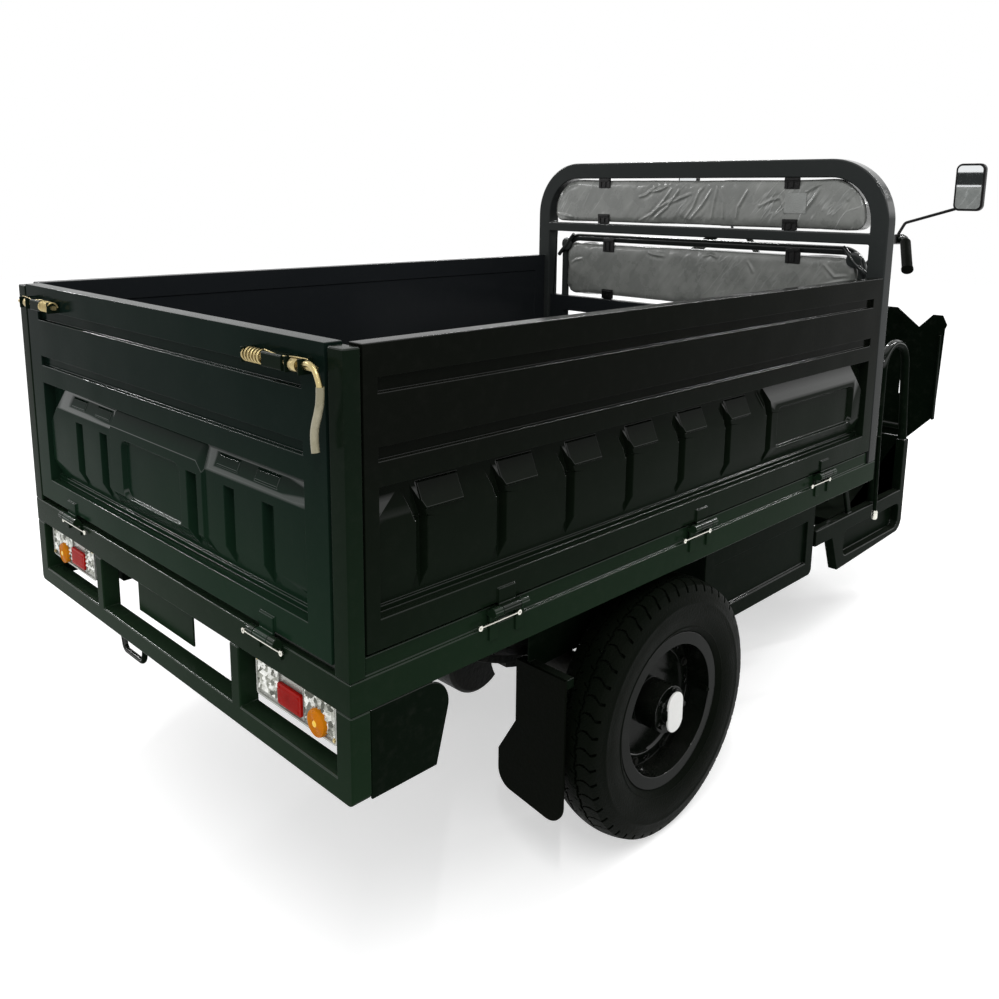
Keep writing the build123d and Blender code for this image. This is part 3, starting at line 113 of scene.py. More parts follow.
def paintWith(obj, material):
    obj.data.materials.clear()
    obj.data.materials.append(material)


def dress(obj, finish, body, slot, *nodes):
    # paints a piece, which rides on a body, and hides the CAD nodes it stands for
    paintWith(obj, finishes[finish])
    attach(obj, body)
    if nodes:
        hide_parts(*nodes)


def join(objs, name):
    bpy.ops.object.select_all(action='DESELECT')
    for obj in objs:
        obj.select_set(True)
    bpy.context.view_layer.objects.active = objs[0]
    if len(objs) > 1:
        bpy.ops.object.join()
    return named(name)


def rounded(obj, width, segments=2, angle=28):
    # bevelled edges, with the shading kept flat between them
    modified(obj, 'BEVEL', width=width, segments=segments, limit_method='ANGLE',
        angle_limit=math.radians(angle), use_clamp_overlap=False)
    smooth(obj, 38)
    modified(obj, 'WEIGHTED_NORMAL', keep_sharp=True)


def duplicate(source):
    # a copy with its own mesh
    twin = source.copy()
    twin.data = source.data.copy()
    scene.collection.objects.link(twin)
    return twin


def nodeCopy(node, name):
    # the CAD node's mesh, merged into clean faces, as the start of a finer piece
    obj = duplicate(frame["nodes"][node])
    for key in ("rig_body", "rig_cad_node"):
        if key in obj:
            del obj[key]
    obj.parent = None
    pick(obj)
    named(name)
    setMode('EDIT')
    bpy.ops.mesh.select_all(action='SELECT')
    bpy.ops.mesh.remove_doubles(threshold=0.00002)
    bpy.ops.mesh.dissolve_limited(angle_limit=math.radians(1.0))
    setMode('OBJECT')
    return obj


def nodeMiddle(node):
    low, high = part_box(node)
    return (Vector(low) + Vector(high)) / 2


def bed(x, y, z):
    # a place measured from the bed's rear edge, in the shared frame
    return Vector((x - bedRear, y, z))


def cube(name, low, high):
    bpy.ops.mesh.primitive_cube_add(size=1, location=(Vector(low) + Vector(high)) / 2)
    obj = named(name)
    obj.scale = Vector(high) - Vector(low)
    settle(obj)
    return obj


def turned(obj, centre, axis):
    # lays a piece drawn along Z on another axis and moves it to its place
    obj.rotation_euler = Vector(axis).to_track_quat('Z', 'Y').to_euler()
    obj.location = centre
    settle(obj)
    return obj


def disc(name, centre, axis, radius, depth, sides):
    bpy.ops.mesh.primitive_cylinder_add(vertices=sides, radius=radius, depth=depth)
    return turned(named(name), centre, axis)


def chooseFaces(obj, test=lambda centre, normal: True):
    # leaves edit mode open with only the faces whose middle and normal pass
    pick(obj)
    setMode('EDIT')
    bpy.ops.mesh.select_mode(type='FACE')
    bpy.ops.mesh.select_all(action='DESELECT')
    setMode('OBJECT')
    for face in obj.data.polygons:
        face.select = test(face.center, face.normal)
    setMode('EDIT')


def roundAlong(obj, axis, radius, segments=6):
    # rounds the edges that run along one axis
    pick(obj)
    setMode('EDIT')
    bpy.ops.mesh.select_mode(type='EDGE')
    bpy.ops.mesh.select_all(action='DESELECT')
    setMode('OBJECT')
    points = obj.data.vertices
    for edge in obj.data.edges:
        way = (points[edge.vertices[1]].co - points[edge.vertices[0]].co).normalized()
        edge.select = abs(way[axis]) > 0.99
    setMode('EDIT')
    bpy.ops.mesh.bevel(offset=radius, segments=segments, affect='EDGES')
    setMode('OBJECT')


def lineObject(name, points, kind, cyclic=False):
    curve = bpy.data.curves.new(name, 'CURVE')
    curve.dimensions = '3D'
    line = curve.splines.new(kind)
    line.points.add(len(points) - 1)
    for point, place in zip(line.points, points):
        point.co = (*place, 1)
    line.use_cyclic_u = cyclic
    obj = bpy.data.objects.new(name, curve)
    scene.collection.objects.link(obj)
    return obj, curve, line


def lathe(name, profile, steps=64, closed=False):
    # a profile of radius and height, spun about Z
    pick(lineObject(name, [(radius, 0, height) for radius, height in profile], 'POLY', closed)[0])
    bpy.ops.object.convert(target='MESH')
    obj = named(name)
    setMode('EDIT')
    bpy.ops.mesh.select_all(action='SELECT')
    bpy.ops.mesh.spin(steps=steps, angle=2 * math.pi, center=(0, 0, 0), axis=(0, 0, 1))
    bpy.ops.mesh.select_all(action='SELECT')
    bpy.ops.mesh.remove_doubles(threshold=0.00001)
    bpy.ops.mesh.normals_make_consistent(inside=False)
    setMode('OBJECT')
    smooth(obj)
    return obj


def strand(name, points, radius, order=3, steps=8, sides=4):
    # a round wire or rod along a smooth line
    obj, curve, line = lineObject(name, points, 'NURBS')
    setAll(line, order_u=order, use_endpoint_u=True)
    setAll(curve, resolution_u=steps, bevel_depth=radius, bevel_resolution=sides, use_fill_caps=True)
    pick(obj)
    bpy.ops.object.convert(target='MESH')
    obj = named(name)
    smooth(obj, 50)
    return obj


def copies(template, places, name):
    # one piece out of a template's repeats, without the template
    made = []
    for place in places:
        twin = duplicate(template)
        twin.location = place
        settle(twin)
        made.append(twin)
    bpy.data.objects.remove(template)
    return join(made, name)


# Bolt proportions, in radii of the head
boltShape = {"washerWide": 1.45, "washerThick": 0.24, "headMiddle": 0.55, "headThick": 0.7, "soft": 0.1}


def boltHead(name, axis, radius):
    # a six-sided head on its washer, at the origin
    way = Vector(axis) * radius
    thick = boltShape["washerThick"]
    washer = disc(name, way * thick / 2, axis, radius * boltShape["washerWide"], radius * thick, 24)
    head = disc(name, way * boltShape["headMiddle"], axis, radius, radius * boltShape["headThick"], 6)
    bolt = join([washer, head], name)
    rounded(bolt, radius * boltShape["soft"])
    return bolt


# Shader node groups, each built once and placed with its own values
def startGroup(name, inputs, outputs):
    group = bpy.data.node_groups.new(name, 'ShaderNodeTree')
    for way, sockets in (('INPUT', inputs), ('OUTPUT', outputs)):
        for label, kind in sockets.items():
            group.interface.new_socket(name=label, in_out=way, socket_type='NodeSocket' + kind)
    return group, group.nodes.new('NodeGroupInput'), group.nodes.new('NodeGroupOutput')


def feed(tree, socket, value):
    # a socket is led from another node, or set to a colour or a number
    if isinstance(value, bpy.types.NodeSocket):
        tree.links.new(value, socket)
    else:
        socket.default_value = (*value, 1) if isinstance(value, tuple) else value


def feedAll(tree, node, values):
    for label, value in values.items():
        feed(tree, node.inputs[label], value)


def noiseNode(tree, coords, scale, detail=3.0, rough=0.55):
    node = tree.nodes.new('ShaderNodeTexNoise')
    feedAll(tree, node, {"Vector": coords, "Scale": scale, "Detail": detail, "Roughness": rough})
    return node.outputs['Fac']


def rampNode(tree, source, stops):
    # stops of place and shade, where a lone number is a grey
    ramp = tree.nodes.new('ShaderNodeValToRGB')
    elements = ramp.color_ramp.elements
    for index, (place, shade) in enumerate(stops):
        element = elements[index] if index < 2 else elements.new(place)
        element.position = place
        element.color = (*shade, 1) if isinstance(shade, tuple) else (shade, shade, shade, 1)
    feed(tree, ramp.inputs['Fac'], source)
    return ramp.outputs[0]


def mathNode(tree, operation, a, b=0.0, clamp=False):
    node = tree.nodes.new('ShaderNodeMath')
    node.operation = operation
    node.use_clamp = clamp
    feed(tree, node.inputs[0], a)
    feed(tree, node.inputs[1], b)
    return node.outputs[0]


def times(tree, a, b, clamp=False):
    return mathNode(tree, 'MULTIPLY', a, b, clamp)


def mixColour(tree, factor, a, b):
    node = tree.nodes.new('ShaderNodeMix')
    node.data_type = 'RGBA'
    for slot, value in ((0, factor), (6, a), (7, b)):
        feed(tree, node.inputs[slot], value)
    return node.outputs[2]


# Gloss enamel: heights between which it turns from green to black, dust, and glints by how far a face
# looks up
enamelLook = {
    "greenBelow": 0.45, "blackAbove": 1.0, "blotchScale": 2.3, "blotchLift": 0.45, "upwardDust": 0.8,
    "glint": [(0.08, 0.0), (0.2, 1.0), (0.33, 1.0), (0.39, 0.1), (0.54, 0.1), (0.62, 0.8), (0.9, 1.0),
    (0.97, 0.8), (0.995, 0.2)], "glintShare": 0.95, "speckScale": 46.0,
    "speckStops": [(0.5, 0.0), (0.72, 1.0)],
    "speckShare": 0.6, "dustTint": 0.12, "dustTone": (0.16, 0.155, 0.14), "dustRough": 0.5,
    "smearScale": 9.0,
    "smearShare": 0.06, "peelScale": 420.0, "peelHeight": 0.00012, "sheetScale": 5.5, "sheetHeight": 0.006}


def buildPaintGroup():
    look = enamelLook
    group, start, end = startGroup("enamel", {"Deep": 'Color', "Low": 'Color', "Gloss": 'Float',
        "Dust": 'Float', "Wave": 'Float'},
        {"Color": 'Color', "Roughness": 'Float', "Height": 'Float', "Polish": 'Float'})
    coords = group.nodes.new('ShaderNodeTexCoord').outputs['Object']
    split = group.nodes.new('ShaderNodeSeparateXYZ')
    feed(group, split.inputs[0], coords)
    height = group.nodes.new('ShaderNodeMapRange')
    feedAll(group, height, {"Value": split.outputs[2], "From Min": look["greenBelow"],
        "From Max": look["blackAbove"], "To Min": 1.0, "To Max": 0.0})
    blotch = mathNode(group, 'ADD', noiseNode(group, coords, look["blotchScale"], 2.0), look["blotchLift"])
    lowness = times(group, height.outputs[0], blotch, True)
    tone = mixColour(group, lowness, start.outputs['Deep'], start.outputs['Low'])
    normal = group.nodes.new('ShaderNodeNewGeometry')
    facing = group.nodes.new('ShaderNodeSeparateXYZ')
    feed(group, facing.inputs[0], normal.outputs['Normal'])
    glint = rampNode(group, facing.outputs[2], look["glint"])
    feed(group, end.inputs['Polish'], times(group, glint, look["glintShare"]))
    upward = times(group, mathNode(group, 'MAXIMUM', facing.outputs[2], 0.0), look["upwardDust"])
    specks = rampNode(group, noiseNode(group, coords, look["speckScale"], 6.0, 0.7), look["speckStops"])
    film = mathNode(group, 'ADD', times(group, specks, look["speckShare"]), upward)
    dusty = times(group, film, start.outputs['Dust'], True)
    tint = times(group, dusty, look["dustTint"])
    feed(group, end.inputs['Color'], mixColour(group, tint, tone, look["dustTone"]))
    smear = times(group, noiseNode(group, coords, look["smearScale"], 4.0), look["smearShare"])
    rough = mathNode(group, 'ADD', start.outputs['Gloss'], smear)
    worn = times(group, dusty, look["dustRough"])
    feed(group, end.inputs['Roughness'], mathNode(group, 'ADD', rough, worn, True))
    peel = times(group, noiseNode(group, coords, look["peelScale"], 1.0), look["peelHeight"])
    sheet = times(group, noiseNode(group, coords, look["sheetScale"], 1.0, 0.4), look["sheetHeight"])
    waves = times(group, sheet, start.outputs['Wave'])
    feed(group, end.inputs['Height'], mathNode(group, 'ADD', peel, waves))
    return group


# Matt moulded, rubbed or plated surfaces: tone in patches, dirt and a fine grain
grainLook = {"patchScale": 14.0, "patchStops": [(0.42, 0.0), (0.7, 1.0)], "dirtRough": 0.3, "height": 0.002}


def buildGrainGroup():
    group, start, end = startGroup("grain", {"Tone": 'Color', "Dirt": 'Color', "Amount": 'Float',
        "Rough": 'Float', "Scale": 'Float', "Depth": 'Float'},
        {"Color": 'Color', "Roughness": 'Float', "Height": 'Float'})
    coords = group.nodes.new('ShaderNodeTexCoord').outputs['Object']
    patches = rampNode(group, noiseNode(group, coords, grainLook["patchScale"], 5.0, 0.6),
        grainLook["patchStops"])
    mask = times(group, patches, start.outputs['Amount'], True)
    feed(group, end.inputs['Color'], mixColour(group, mask, start.outputs['Tone'], start.outputs['Dirt']))
    worn = times(group, mask, grainLook["dirtRough"])
    feed(group, end.inputs['Roughness'], mathNode(group, 'ADD', start.outputs['Rough'], worn, True))
    fine = noiseNode(group, coords, start.outputs['Scale'], 3.0, 0.6)
    raised = times(group, fine, grainLook["height"])
    feed(group, end.inputs['Height'], times(group, raised, start.outputs['Depth']))
    return group


def startMaterial(name, values):
    # a material whose shader has the given values on its own sockets
    material = bpy.data.materials.new(name)
    material.use_nodes = True
    tree = material.node_tree
    shader = tree.nodes['Principled BSDF']
    feedAll(tree, shader, values)
    return material, tree, shader


def groupInto(tree, shader, group, values):
    # places a group and leads its colour and roughness to the shader
    node = tree.nodes.new('ShaderNodeGroup')
    node.node_tree = group
    feedAll(tree, node, values)
    feed(tree, shader.inputs['Base Color'], node.outputs['Color'])
    feed(tree, shader.inputs['Roughness'], node.outputs['Roughness'])
    return node


def bumpInto(tree, shader, height, strength=1.0):
    bump = tree.nodes.new('ShaderNodeBump')
    feedAll(tree, bump, {"Strength": strength, "Distance": 1.0, "Height": height})
    feed(tree, shader.inputs['Normal'], bump.outputs['Normal'])


enamel = buildPaintGroup()
grain = buildGrainGroup()


def enamelMaterial(name, deep, low, gloss, dust, wave, specular):
    material, tree, shader = startMaterial(name, {"Coat Roughness": 0.06, "Specular IOR Level": specular})
    node = groupInto(tree, shader, enamel, {"Deep": deep, "Low": low, "Gloss": gloss, "Dust": dust,
        "Wave": wave})
    bumpInto(tree, shader, node.outputs['Height'])
    feed(tree, shader.inputs['Coat Weight'], node.outputs['Polish'])
    return material


def grainMaterial(name, tone, dirt, amount, rough, scale, depth, metallic=0.0, specular=0.4):
    material, tree, shader = startMaterial(name, {"Metallic": metallic, "Specular IOR Level": specular})
    node = groupInto(tree, shader, grain, {"Tone": tone, "Dirt": dirt, "Amount": amount, "Rough": rough,
        "Scale": scale, "Depth": depth})
    bumpInto(tree, shader, node.outputs['Height'])
    return material


# Enamels: tone above, tone low down, gloss, dust, wave of the sheet, specular level
enamels = {
    "rim_paint": ((0.002, 0.0028, 0.002), (0.002, 0.0032, 0.002), 0.1, 0.3, 0.1, 0.05),
    "box_paint": ((0.0036, 0.0044, 0.0032), (0.0056, 0.0135, 0.0064), 0.09, 0.12, 0.5, 0.012),
    "bed_paint": ((0.012, 0.0138, 0.0155), (0.0085, 0.0115, 0.0095), 0.12, 0.12, 0.5, 0.025),
    "gate_paint": ((0.005, 0.011, 0.0086), (0.01, 0.033, 0.0145), 0.09, 0.12, 0.5, 0.008),
    "frame_paint": ((0.0052, 0.0098, 0.0058), (0.009, 0.0225, 0.0104), 0.12, 0.2, 0.15, 0.01),
    "black_paint": ((0.025, 0.028, 0.0275), (0.004, 0.0055, 0.0042), 0.14, 0.2, 0.3, 0.04),
    # the chassis black, also put on the bumper cheeks as painted shade
    "chassis_black_and_painted_shade": ((0.0022, 0.0042, 0.0024), (0.0026, 0.006, 0.003), 0.3, 0.4, 0.1, 0.007)}

# Grained finishes: tone, dirt, amount of dirt, roughness, grain scale, grain depth, metal, specular level
grained = {
    "tyre_rubber": ((0.0018, 0.003, 0.0016), (0.0045, 0.0055, 0.0035), 0.35, 0.45, 220.0, 0.6, 0.0, 0.022),
    "soft_rubber": ((0.0016, 0.0024, 0.0013), (0.004, 0.005, 0.0032), 0.35, 0.5, 120.0, 0.4, 0.0, 0.02),
    "moulded_black": ((0.004, 0.004, 0.004), (0.014, 0.014, 0.014), 0.2, 0.35, 400.0, 0.3, 0.0, 0.2),
    "cast_metal": ((0.006, 0.007, 0.006), (0.03, 0.028, 0.024), 0.35, 0.45, 90.0, 0.8, 0.0, 0.1),
    "zinc_plate": ((0.52, 0.42, 0.2), (0.22, 0.17, 0.1), 0.5, 0.3, 260.0, 0.4, 1.0),
    "seat_skin": ((0.006, 0.006, 0.006), (0.016, 0.016, 0.016), 0.2, 0.42, 300.0, 1.0, 0.0, 0.2),
    "tape_grey": ((0.27, 0.28, 0.27), (0.2, 0.2, 0.19), 0.5, 0.3, 240.0, 0.3),
    "lamp_silver": ((0.4, 0.41, 0.38), (0.24, 0.25, 0.22), 0.5, 0.16, 240.0, 0.4, 0.4, 0.3),
    "steel_bright": ((0.72, 0.71, 0.64), (0.3, 0.28, 0.22), 0.4, 0.25, 260.0, 0.3, 1.0),
    "lamp_red": ((0.36, 0.006, 0.003), (0.17, 0.003, 0.002), 0.6, 0.16, 60.0, 0.4, 0.0, 0.03),
    "lamp_amber": ((0.6, 0.2, 0.006), (0.3, 0.075, 0.004), 0.6, 0.16, 60.0, 0.4, 0.0, 0.05),
    "lamp_core": ((0.95, 0.62, 0.04), (0.85, 0.4, 0.02), 0.3, 0.2, 200.0, 0.3),
    # a pale tone for the oval on each rear hub: a painted highlight
    "hub_highlight_pale": ((0.82, 0.82, 0.8), (0.6, 0.6, 0.56), 0.15, 0.35, 200.0, 0.2),
    "sleeve_plastic": ((0.24, 0.22, 0.14), (0.5, 0.46, 0.34), 0.8, 0.25, 150.0, 0.6)}
finishes = {name: enamelMaterial(name, *values) for name, values in enamels.items()}
finishes.update({name: grainMaterial(name, *values) for name, values in grained.items()})
finishes["mirror_face"] = startMaterial("mirror_face", {
    "Base Color": (0.82, 0.84, 0.85), "Metallic": 1.0, "Roughness": 0.03})[0]
finishes["clear_lens"] = startMaterial("clear_lens", {
    "Base Color": (0.9, 0.92, 0.92), "Roughness": 0.05, "Transmission Weight": 0.9})[0]

# Grey cloth under clear film: soft folds, fine slanted creases and pale lines along them, which are painted
# highlights for the film's glints
filmLook = {"tone": (0.165, 0.172, 0.162), "paleTone": (0.27, 0.275, 0.26), "paleAmount": 0.5, "rough": 0.24,
    "slant": 38, "stretch": (1.0, 0.3, 1.3), "foldScale": 8.0, "lineStops": [(0.0, 1.0), (0.03, 0.0)],
    "patchScale": 5.0, "patchStops": [(0.45, 0.0), (0.62, 1.0)], "creaseHighlightShare": 0.4,
    "creaseHighlightTone": (0.42, 0.43, 0.42), "lineHeight": 0.0012, "foldHeight": 0.004, "bump": 0.7}


def buildFilmMaterial(name, amount):
    look = filmLook
    material, tree, shader = startMaterial(name, {"Coat Roughness": 0.12, "Coat Weight": 0.35})
    cloth = groupInto(tree, shader, grain, {"Tone": look["tone"], "Dirt": look["paleTone"],
        "Amount": look["paleAmount"], "Rough": look["rough"],
        "Scale": 420.0, "Depth": 0.05})
    coords = tree.nodes.new('ShaderNodeTexCoord').outputs['Object']
    slant = tree.nodes.new('ShaderNodeMapping')
    slant.vector_type = 'TEXTURE'
    slant.inputs['Rotation'].default_value = (math.radians(look["slant"]), 0, 0)
    slant.inputs['Scale'].default_value = look["stretch"]
    feed(tree, slant.inputs['Vector'], coords)
    folds = noiseNode(tree, slant.outputs['Vector'], look["foldScale"], 2.0, 0.45)
    line = rampNode(tree, mathNode(tree, 'ABSOLUTE', mathNode(tree, 'SUBTRACT', folds, 0.5)),
        look["lineStops"])
    where = rampNode(tree, noiseNode(tree, coords, look["patchScale"], 2.0), look["patchStops"])
    crease = times(tree, times(tree, line, where), amount)
    # the creases are made paler in colour: a painted highlight for the glints along the film's folds
    creaseHighlight = times(tree, crease, look["creaseHighlightShare"])
    feed(tree, shader.inputs['Base Color'], mixColour(tree, creaseHighlight, cloth.outputs['Color'], look["creaseHighlightTone"]))
    raised = times(tree, crease, look["lineHeight"])
    swell = times(tree, folds, look["foldHeight"])
    bumpInto(tree, shader, mathNode(tree, 'ADD', raised, swell), look["bump"])
    return material


# Clear facets over a silvered bowl: each cell takes its own shade, from dark to pale, a painted reflection
# of the light that each facet catches
crystalLook = {"scale": 105.0, "facetGlintShades": [(0.1, (0.1, 0.105, 0.085)), (0.45, (0.42, 0.43, 0.38)),
    (0.9, (0.86, 0.87, 0.83))]}


def buildCrystalMaterial():
    material, tree, shader = startMaterial("lamp_crystal", {"Metallic": 0.45, "Roughness": 0.12})
    coords = tree.nodes.new('ShaderNodeTexCoord').outputs['Object']
    cells = tree.nodes.new('ShaderNodeTexVoronoi')
    feedAll(tree, cells, {"Scale": crystalLook["scale"], "Vector": coords})
    split = tree.nodes.new('ShaderNodeSeparateColor')
    feed(tree, split.inputs[0], cells.outputs['Color'])
    # each cell's shade is a painted reflection, not the facets' own colour
    feed(tree, shader.inputs['Base Color'], rampNode(tree, split.outputs[0], crystalLook["facetGlintShades"]))
    return material


finishes["cushion_film"] = buildFilmMaterial("cushion_film", 1.0)
finishes["calm_film"] = buildFilmMaterial("calm_film", 0.35)
finishes["lamp_crystal"] = buildCrystalMaterial()
print("materials built")

slotFinishes = {
    "paint": "frame_paint", "paint_black": "black_paint", "chassis_black": "chassis_black_and_painted_shade",
    "tyre": "tyre_rubber",
    "film_fabric": "cushion_film", "clip": "moulded_black", "lamp_clear": "lamp_silver",
    "lamp_red": "lamp_red",
    "lamp_amber": "lamp_amber", "zinc": "zinc_plate", "rubber": "soft_rubber", "cast": "cast_metal",
    "seat_leather": "seat_skin", "mirror_shell": "moulded_black", "mirror": "mirror_face",
    "glass": "clear_lens"}
nodeSlots = {part["node"]: part["material_slot"] for part in frame["record"]["subparts"]}
nodeBodies = {node: body for body, nodes in frame["record"]["behaviour"]["bodies"].items() for node in nodes}
for node, obj in frame["nodes"].items():
    paintWith(obj, finishes[slotFinishes[nodeSlots[node]]])

# Steelwork: the CAD shape with its edges rounded to catch the light, as finish, edge radius and segments
steelwork = {
    "tailgate": ("gate_paint", 0.0015, 3), "side_right": ("box_paint", 0.0015, 3),
    "side_left": ("bed_paint", 0.0015, 3), "bed_frame": ("frame_paint", 0.0022, 2),
    "corner_posts": ("frame_paint", 0.003, 3), "bumper_frame": ("frame_paint", 0.003, 3),
    # the bumper cheeks carry the frame's paint; the darker chassis paint on them is painted shade
    "bumper_cheeks": ("chassis_black_and_painted_shade", 0.0015, 2), "head_hoop": ("black_paint", 0.004, 3),
    "front_bulkhead": ("bed_paint", 0.002, 2), "cargo_floor": ("bed_paint", 0.0015, 2),
    "ladder_frame": ("chassis_black_and_painted_shade", 0.003, 2), "battery_box": ("chassis_black_and_painted_shade", 0.003, 2),
    "seat_base": ("chassis_black_and_painted_shade", 0.003, 2), "leg_shield": ("chassis_black_and_painted_shade", 0.0012, 2),
    "footboard": ("chassis_black_and_painted_shade", 0.003, 2), "plate_bracket": ("frame_paint", 0.001, 2),
    "step_frames": ("chassis_black_and_painted_shade", 0.003, 2), "wheel_shields": ("chassis_black_and_painted_shade", 0.001, 2),
    "leaf_springs": ("cast_metal", 0.001, 2), "rear_axle": ("cast_metal", 0.002, 2),
    "drive_motor": ("cast_metal", 0.002, 2), "fork": ("chassis_black_and_painted_shade", 0.0015, 2),
    "front_mudguard": ("black_paint", 0.001, 2), "headlamp": ("moulded_black", 0.0015, 2),
    "mirrors": ("moulded_black", 0.0025, 3), "front_frame": ("chassis_black_and_painted_shade", 0.0015, 2),
    "backrest_frame": ("black_paint", 0.0015, 2), "mud_flaps": ("soft_rubber", 0.001, 2),
    "hinge_pins": ("frame_paint", 0.0008, 2)}
for node, (finish, width, segments) in steelwork.items():
    shell = nodeCopy(node, node + "_shell")
    rounded(shell, width, segments)
    dress(shell, finish, nodeBodies[node], nodeSlots[node], node)
print("steelwork rounded")

# Tyres: a spun carcass with the tread's grooves pressed into it
tyres = {
    "rear_tyre_right": {"radius": 0.2844, "half": 0.0608, "rim": 0.1726, "pitches": 50, "crown": 0.009},
    "front_tyre": {"radius": 0.2729, "half": 0.0498, "rim": 0.1726, "pitches": 50, "crown": 0.009}}
sidewall = [(0.006, 0.74), (0.03, 0.79), (0.08, 0.85), (0.12, 0.905), (0.145, 0.885), (0.25, 0.945),
    (0.38, 0.985), (0.5, 1.0), (0.6, 0.99), (0.63, 1.0), (0.66, 0.998), (0.685, 0.975), (0.78, 0.95),
    (0.88, 0.9), (0.95, 0.855), (1.0, 0.8)]
tread = {"share": 0.8, "strips": 36, "steps": 16, "depth": 0.006, "shoulder": 0.1, "ring": 0.36,
    "swing": 0.035,
    "width": 0.05, "slot": 0.075, "hook": 0.24, "lean": 0.1, "narrow": 0.7, "flare": 0.5, "sipeFrom": 0.1,
    "sipeLean": 0.9, "sipeTurn": 0.25, "sipeShare": 0.6}


def tyreProfile(size):
    rise = size["radius"] - size["crown"] - size["rim"]
    side = [(size["rim"] + along * rise, out * size["half"]) for along, out in sidewall]
    edge = size["half"] * tread["share"]
    arc = []
    for step in range(1, tread["strips"]):
        across = 1 - 2 * step / tread["strips"]
        arc.append((size["radius"] - size["crown"] * across * across, across * edge))
    return side + arc + [(radius, -height) for radius, height in reversed(side)]


def buildTyre(node, size):
    tyre = lathe(node + "_treaded", tyreProfile(size), size["pitches"] * tread["steps"], True)
    edge = size["half"] * tread["share"]
    lowest = size["radius"] - size["crown"] - tread["shoulder"] * (size["radius"] - size["rim"])

    def inGroove(centre, normal):
        # a wavy ring on each side, hooked slots outside it and short sipes inside it
        if math.hypot(centre.x, centre.y) < lowest:
            return False
        across = abs(centre.z / edge)
        turn = math.atan2(centre.y, centre.x) / (2 * math.pi) * size["pitches"]
        turn = (turn + (0.5 if centre.z > 0 else 0.0)) % 1
        ring = tread["ring"] + tread["swing"] * math.cos(2 * math.pi * turn)
        if abs(across - ring) < tread["width"]:
            return True
        if across > ring:
            reach = min(1.0, (across - ring) / (1 - ring))
            slot = 0.5 + tread["hook"] * math.sin(math.pi * reach) - tread["lean"] * reach
            return abs(turn - slot) < tread["slot"] * (tread["narrow"] + tread["flare"] * reach)
        sipe = (turn + across * tread["sipeLean"]) % 1 - tread["sipeTurn"]
        return tread["sipeFrom"] < across and abs(sipe) < tread["slot"] * tread["sipeShare"]

    chooseFaces(tyre, inGroove)
    bpy.ops.mesh.extrude_region_shrink_fatten(TRANSFORM_OT_shrink_fatten={"value": -tread["depth"]})
    setMode('OBJECT')
    turned(tyre, nodeMiddle(node), (0, 1, 0))
    smooth(tyre, 32)
    dress(tyre, "tyre_rubber", nodeBodies[node], "tyre", node)


def copyTyre(source, node):
    # the same tyre on the other side
    tyre = duplicate(bpy.data.objects[source + "_treaded"])
    for key in list(tyre.keys()):
        del tyre[key]
    tyre.name = node + "_treaded"
    tyre.parent = None
    tyre.location = Vector(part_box(node)[0]) - Vector(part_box(source)[0])
    settle(tyre)
    dress(tyre, "tyre_rubber", nodeBodies[node], "tyre", node)


for node, size in tyres.items():
    buildTyre(node, size)
copyTyre("rear_tyre_right", "rear_tyre_left")
print("tyres built")

# Wheels: rounded rims, a pressed ring, the bead seat, nuts, a valve and a pale oval on the hub, which is a
# painted highlight for the hub's bright end
wheel = {"soft": 0.0012, "nutRing": 0.131, "nuts": 8, "nutRadius": 0.0075, "nutFace": -0.0085,
    "ovalHalf": 0.0265,
    "ovalLong": 0.045, "ovalFace": 0.0556, "ovalThick": 0.006, "ovalSoft": 0.002, "discFace": -0.0125,
    "pressed": [(0.114, 0.0), (0.117, 0.0045), (0.122, 0.006), (0.127, 0.0045), (0.1295, 0.0)],
    "beadFace": 0.031, "bead": [(0.1495, -0.012), (0.147, -0.009), (0.1462, -0.004), (0.147, 0.001),
    (0.1495, 0.004)],
    "valve": [(0.142, 0.022), (0.14, 0.034), (0.133, 0.052)], "valveThick": 0.0042}


def buildRearWheel(side, name):
    body = "rear_wheel_" + name
    centre = nodeMiddle("rear_tyre_" + name)
    out = Vector((0, side, 0))
    rim = nodeCopy("rear_rim_" + name, "rim_" + name)
    rounded(rim, wheel["soft"])
    ring = lathe("disc_ring_" + name, wheel["pressed"], 72)
    turned(ring, centre + out * wheel["discFace"], out)
    hoop = lathe("bead_ring_" + name, wheel["bead"], 72)
    turned(hoop, centre + out * wheel["beadFace"], out)
    shell = join([rim, ring, hoop], "wheel_" + name)
    dress(shell, "rim_paint", body, "chassis_black", "rear_rim_" + name)
    places = []
    for step in range(wheel["nuts"]):
        angle = 2 * math.pi * (step + 0.5) / wheel["nuts"]
        around = Vector((math.cos(angle), 0, math.sin(angle)))
        places.append(centre + out * wheel["nutFace"] + wheel["nutRing"] * around)
    nuts = copies(boltHead("wheel_nut", out, wheel["nutRadius"]), places, "wheel_nuts_" + name)
    dress(nuts, "cast_metal", body, "cast")
    stem = strand("valve_" + name,
        [centre + out * face + Vector((reach, 0, 0)) for reach, face in wheel["valve"]], wheel["valveThick"])
    dress(stem, "soft_rubber", body, "rubber")
    # a pale oval on the hub face, a painted highlight for the bright end of the hub
    half = Vector((wheel["ovalHalf"], wheel["ovalThick"] / 2, wheel["ovalLong"]))
    face = centre + out * wheel["ovalFace"]
    cap = cube("hub_highlight_oval_" + name, face - half, face + half)
    roundAlong(cap, 1, wheel["ovalHalf"] * 0.97, 14)
    rounded(cap, wheel["ovalSoft"], 3, 50)
    dress(cap, "hub_highlight_pale", body, None)


buildRearWheel(1, "left")
buildRearWheel(-1, "right")
frontRim = nodeCopy("front_rim", "front_wheel_rim")
rounded(frontRim, wheel["soft"])
dress(frontRim, "rim_paint", "front_wheel", "chassis_black", "front_rim")
print("wheels built")

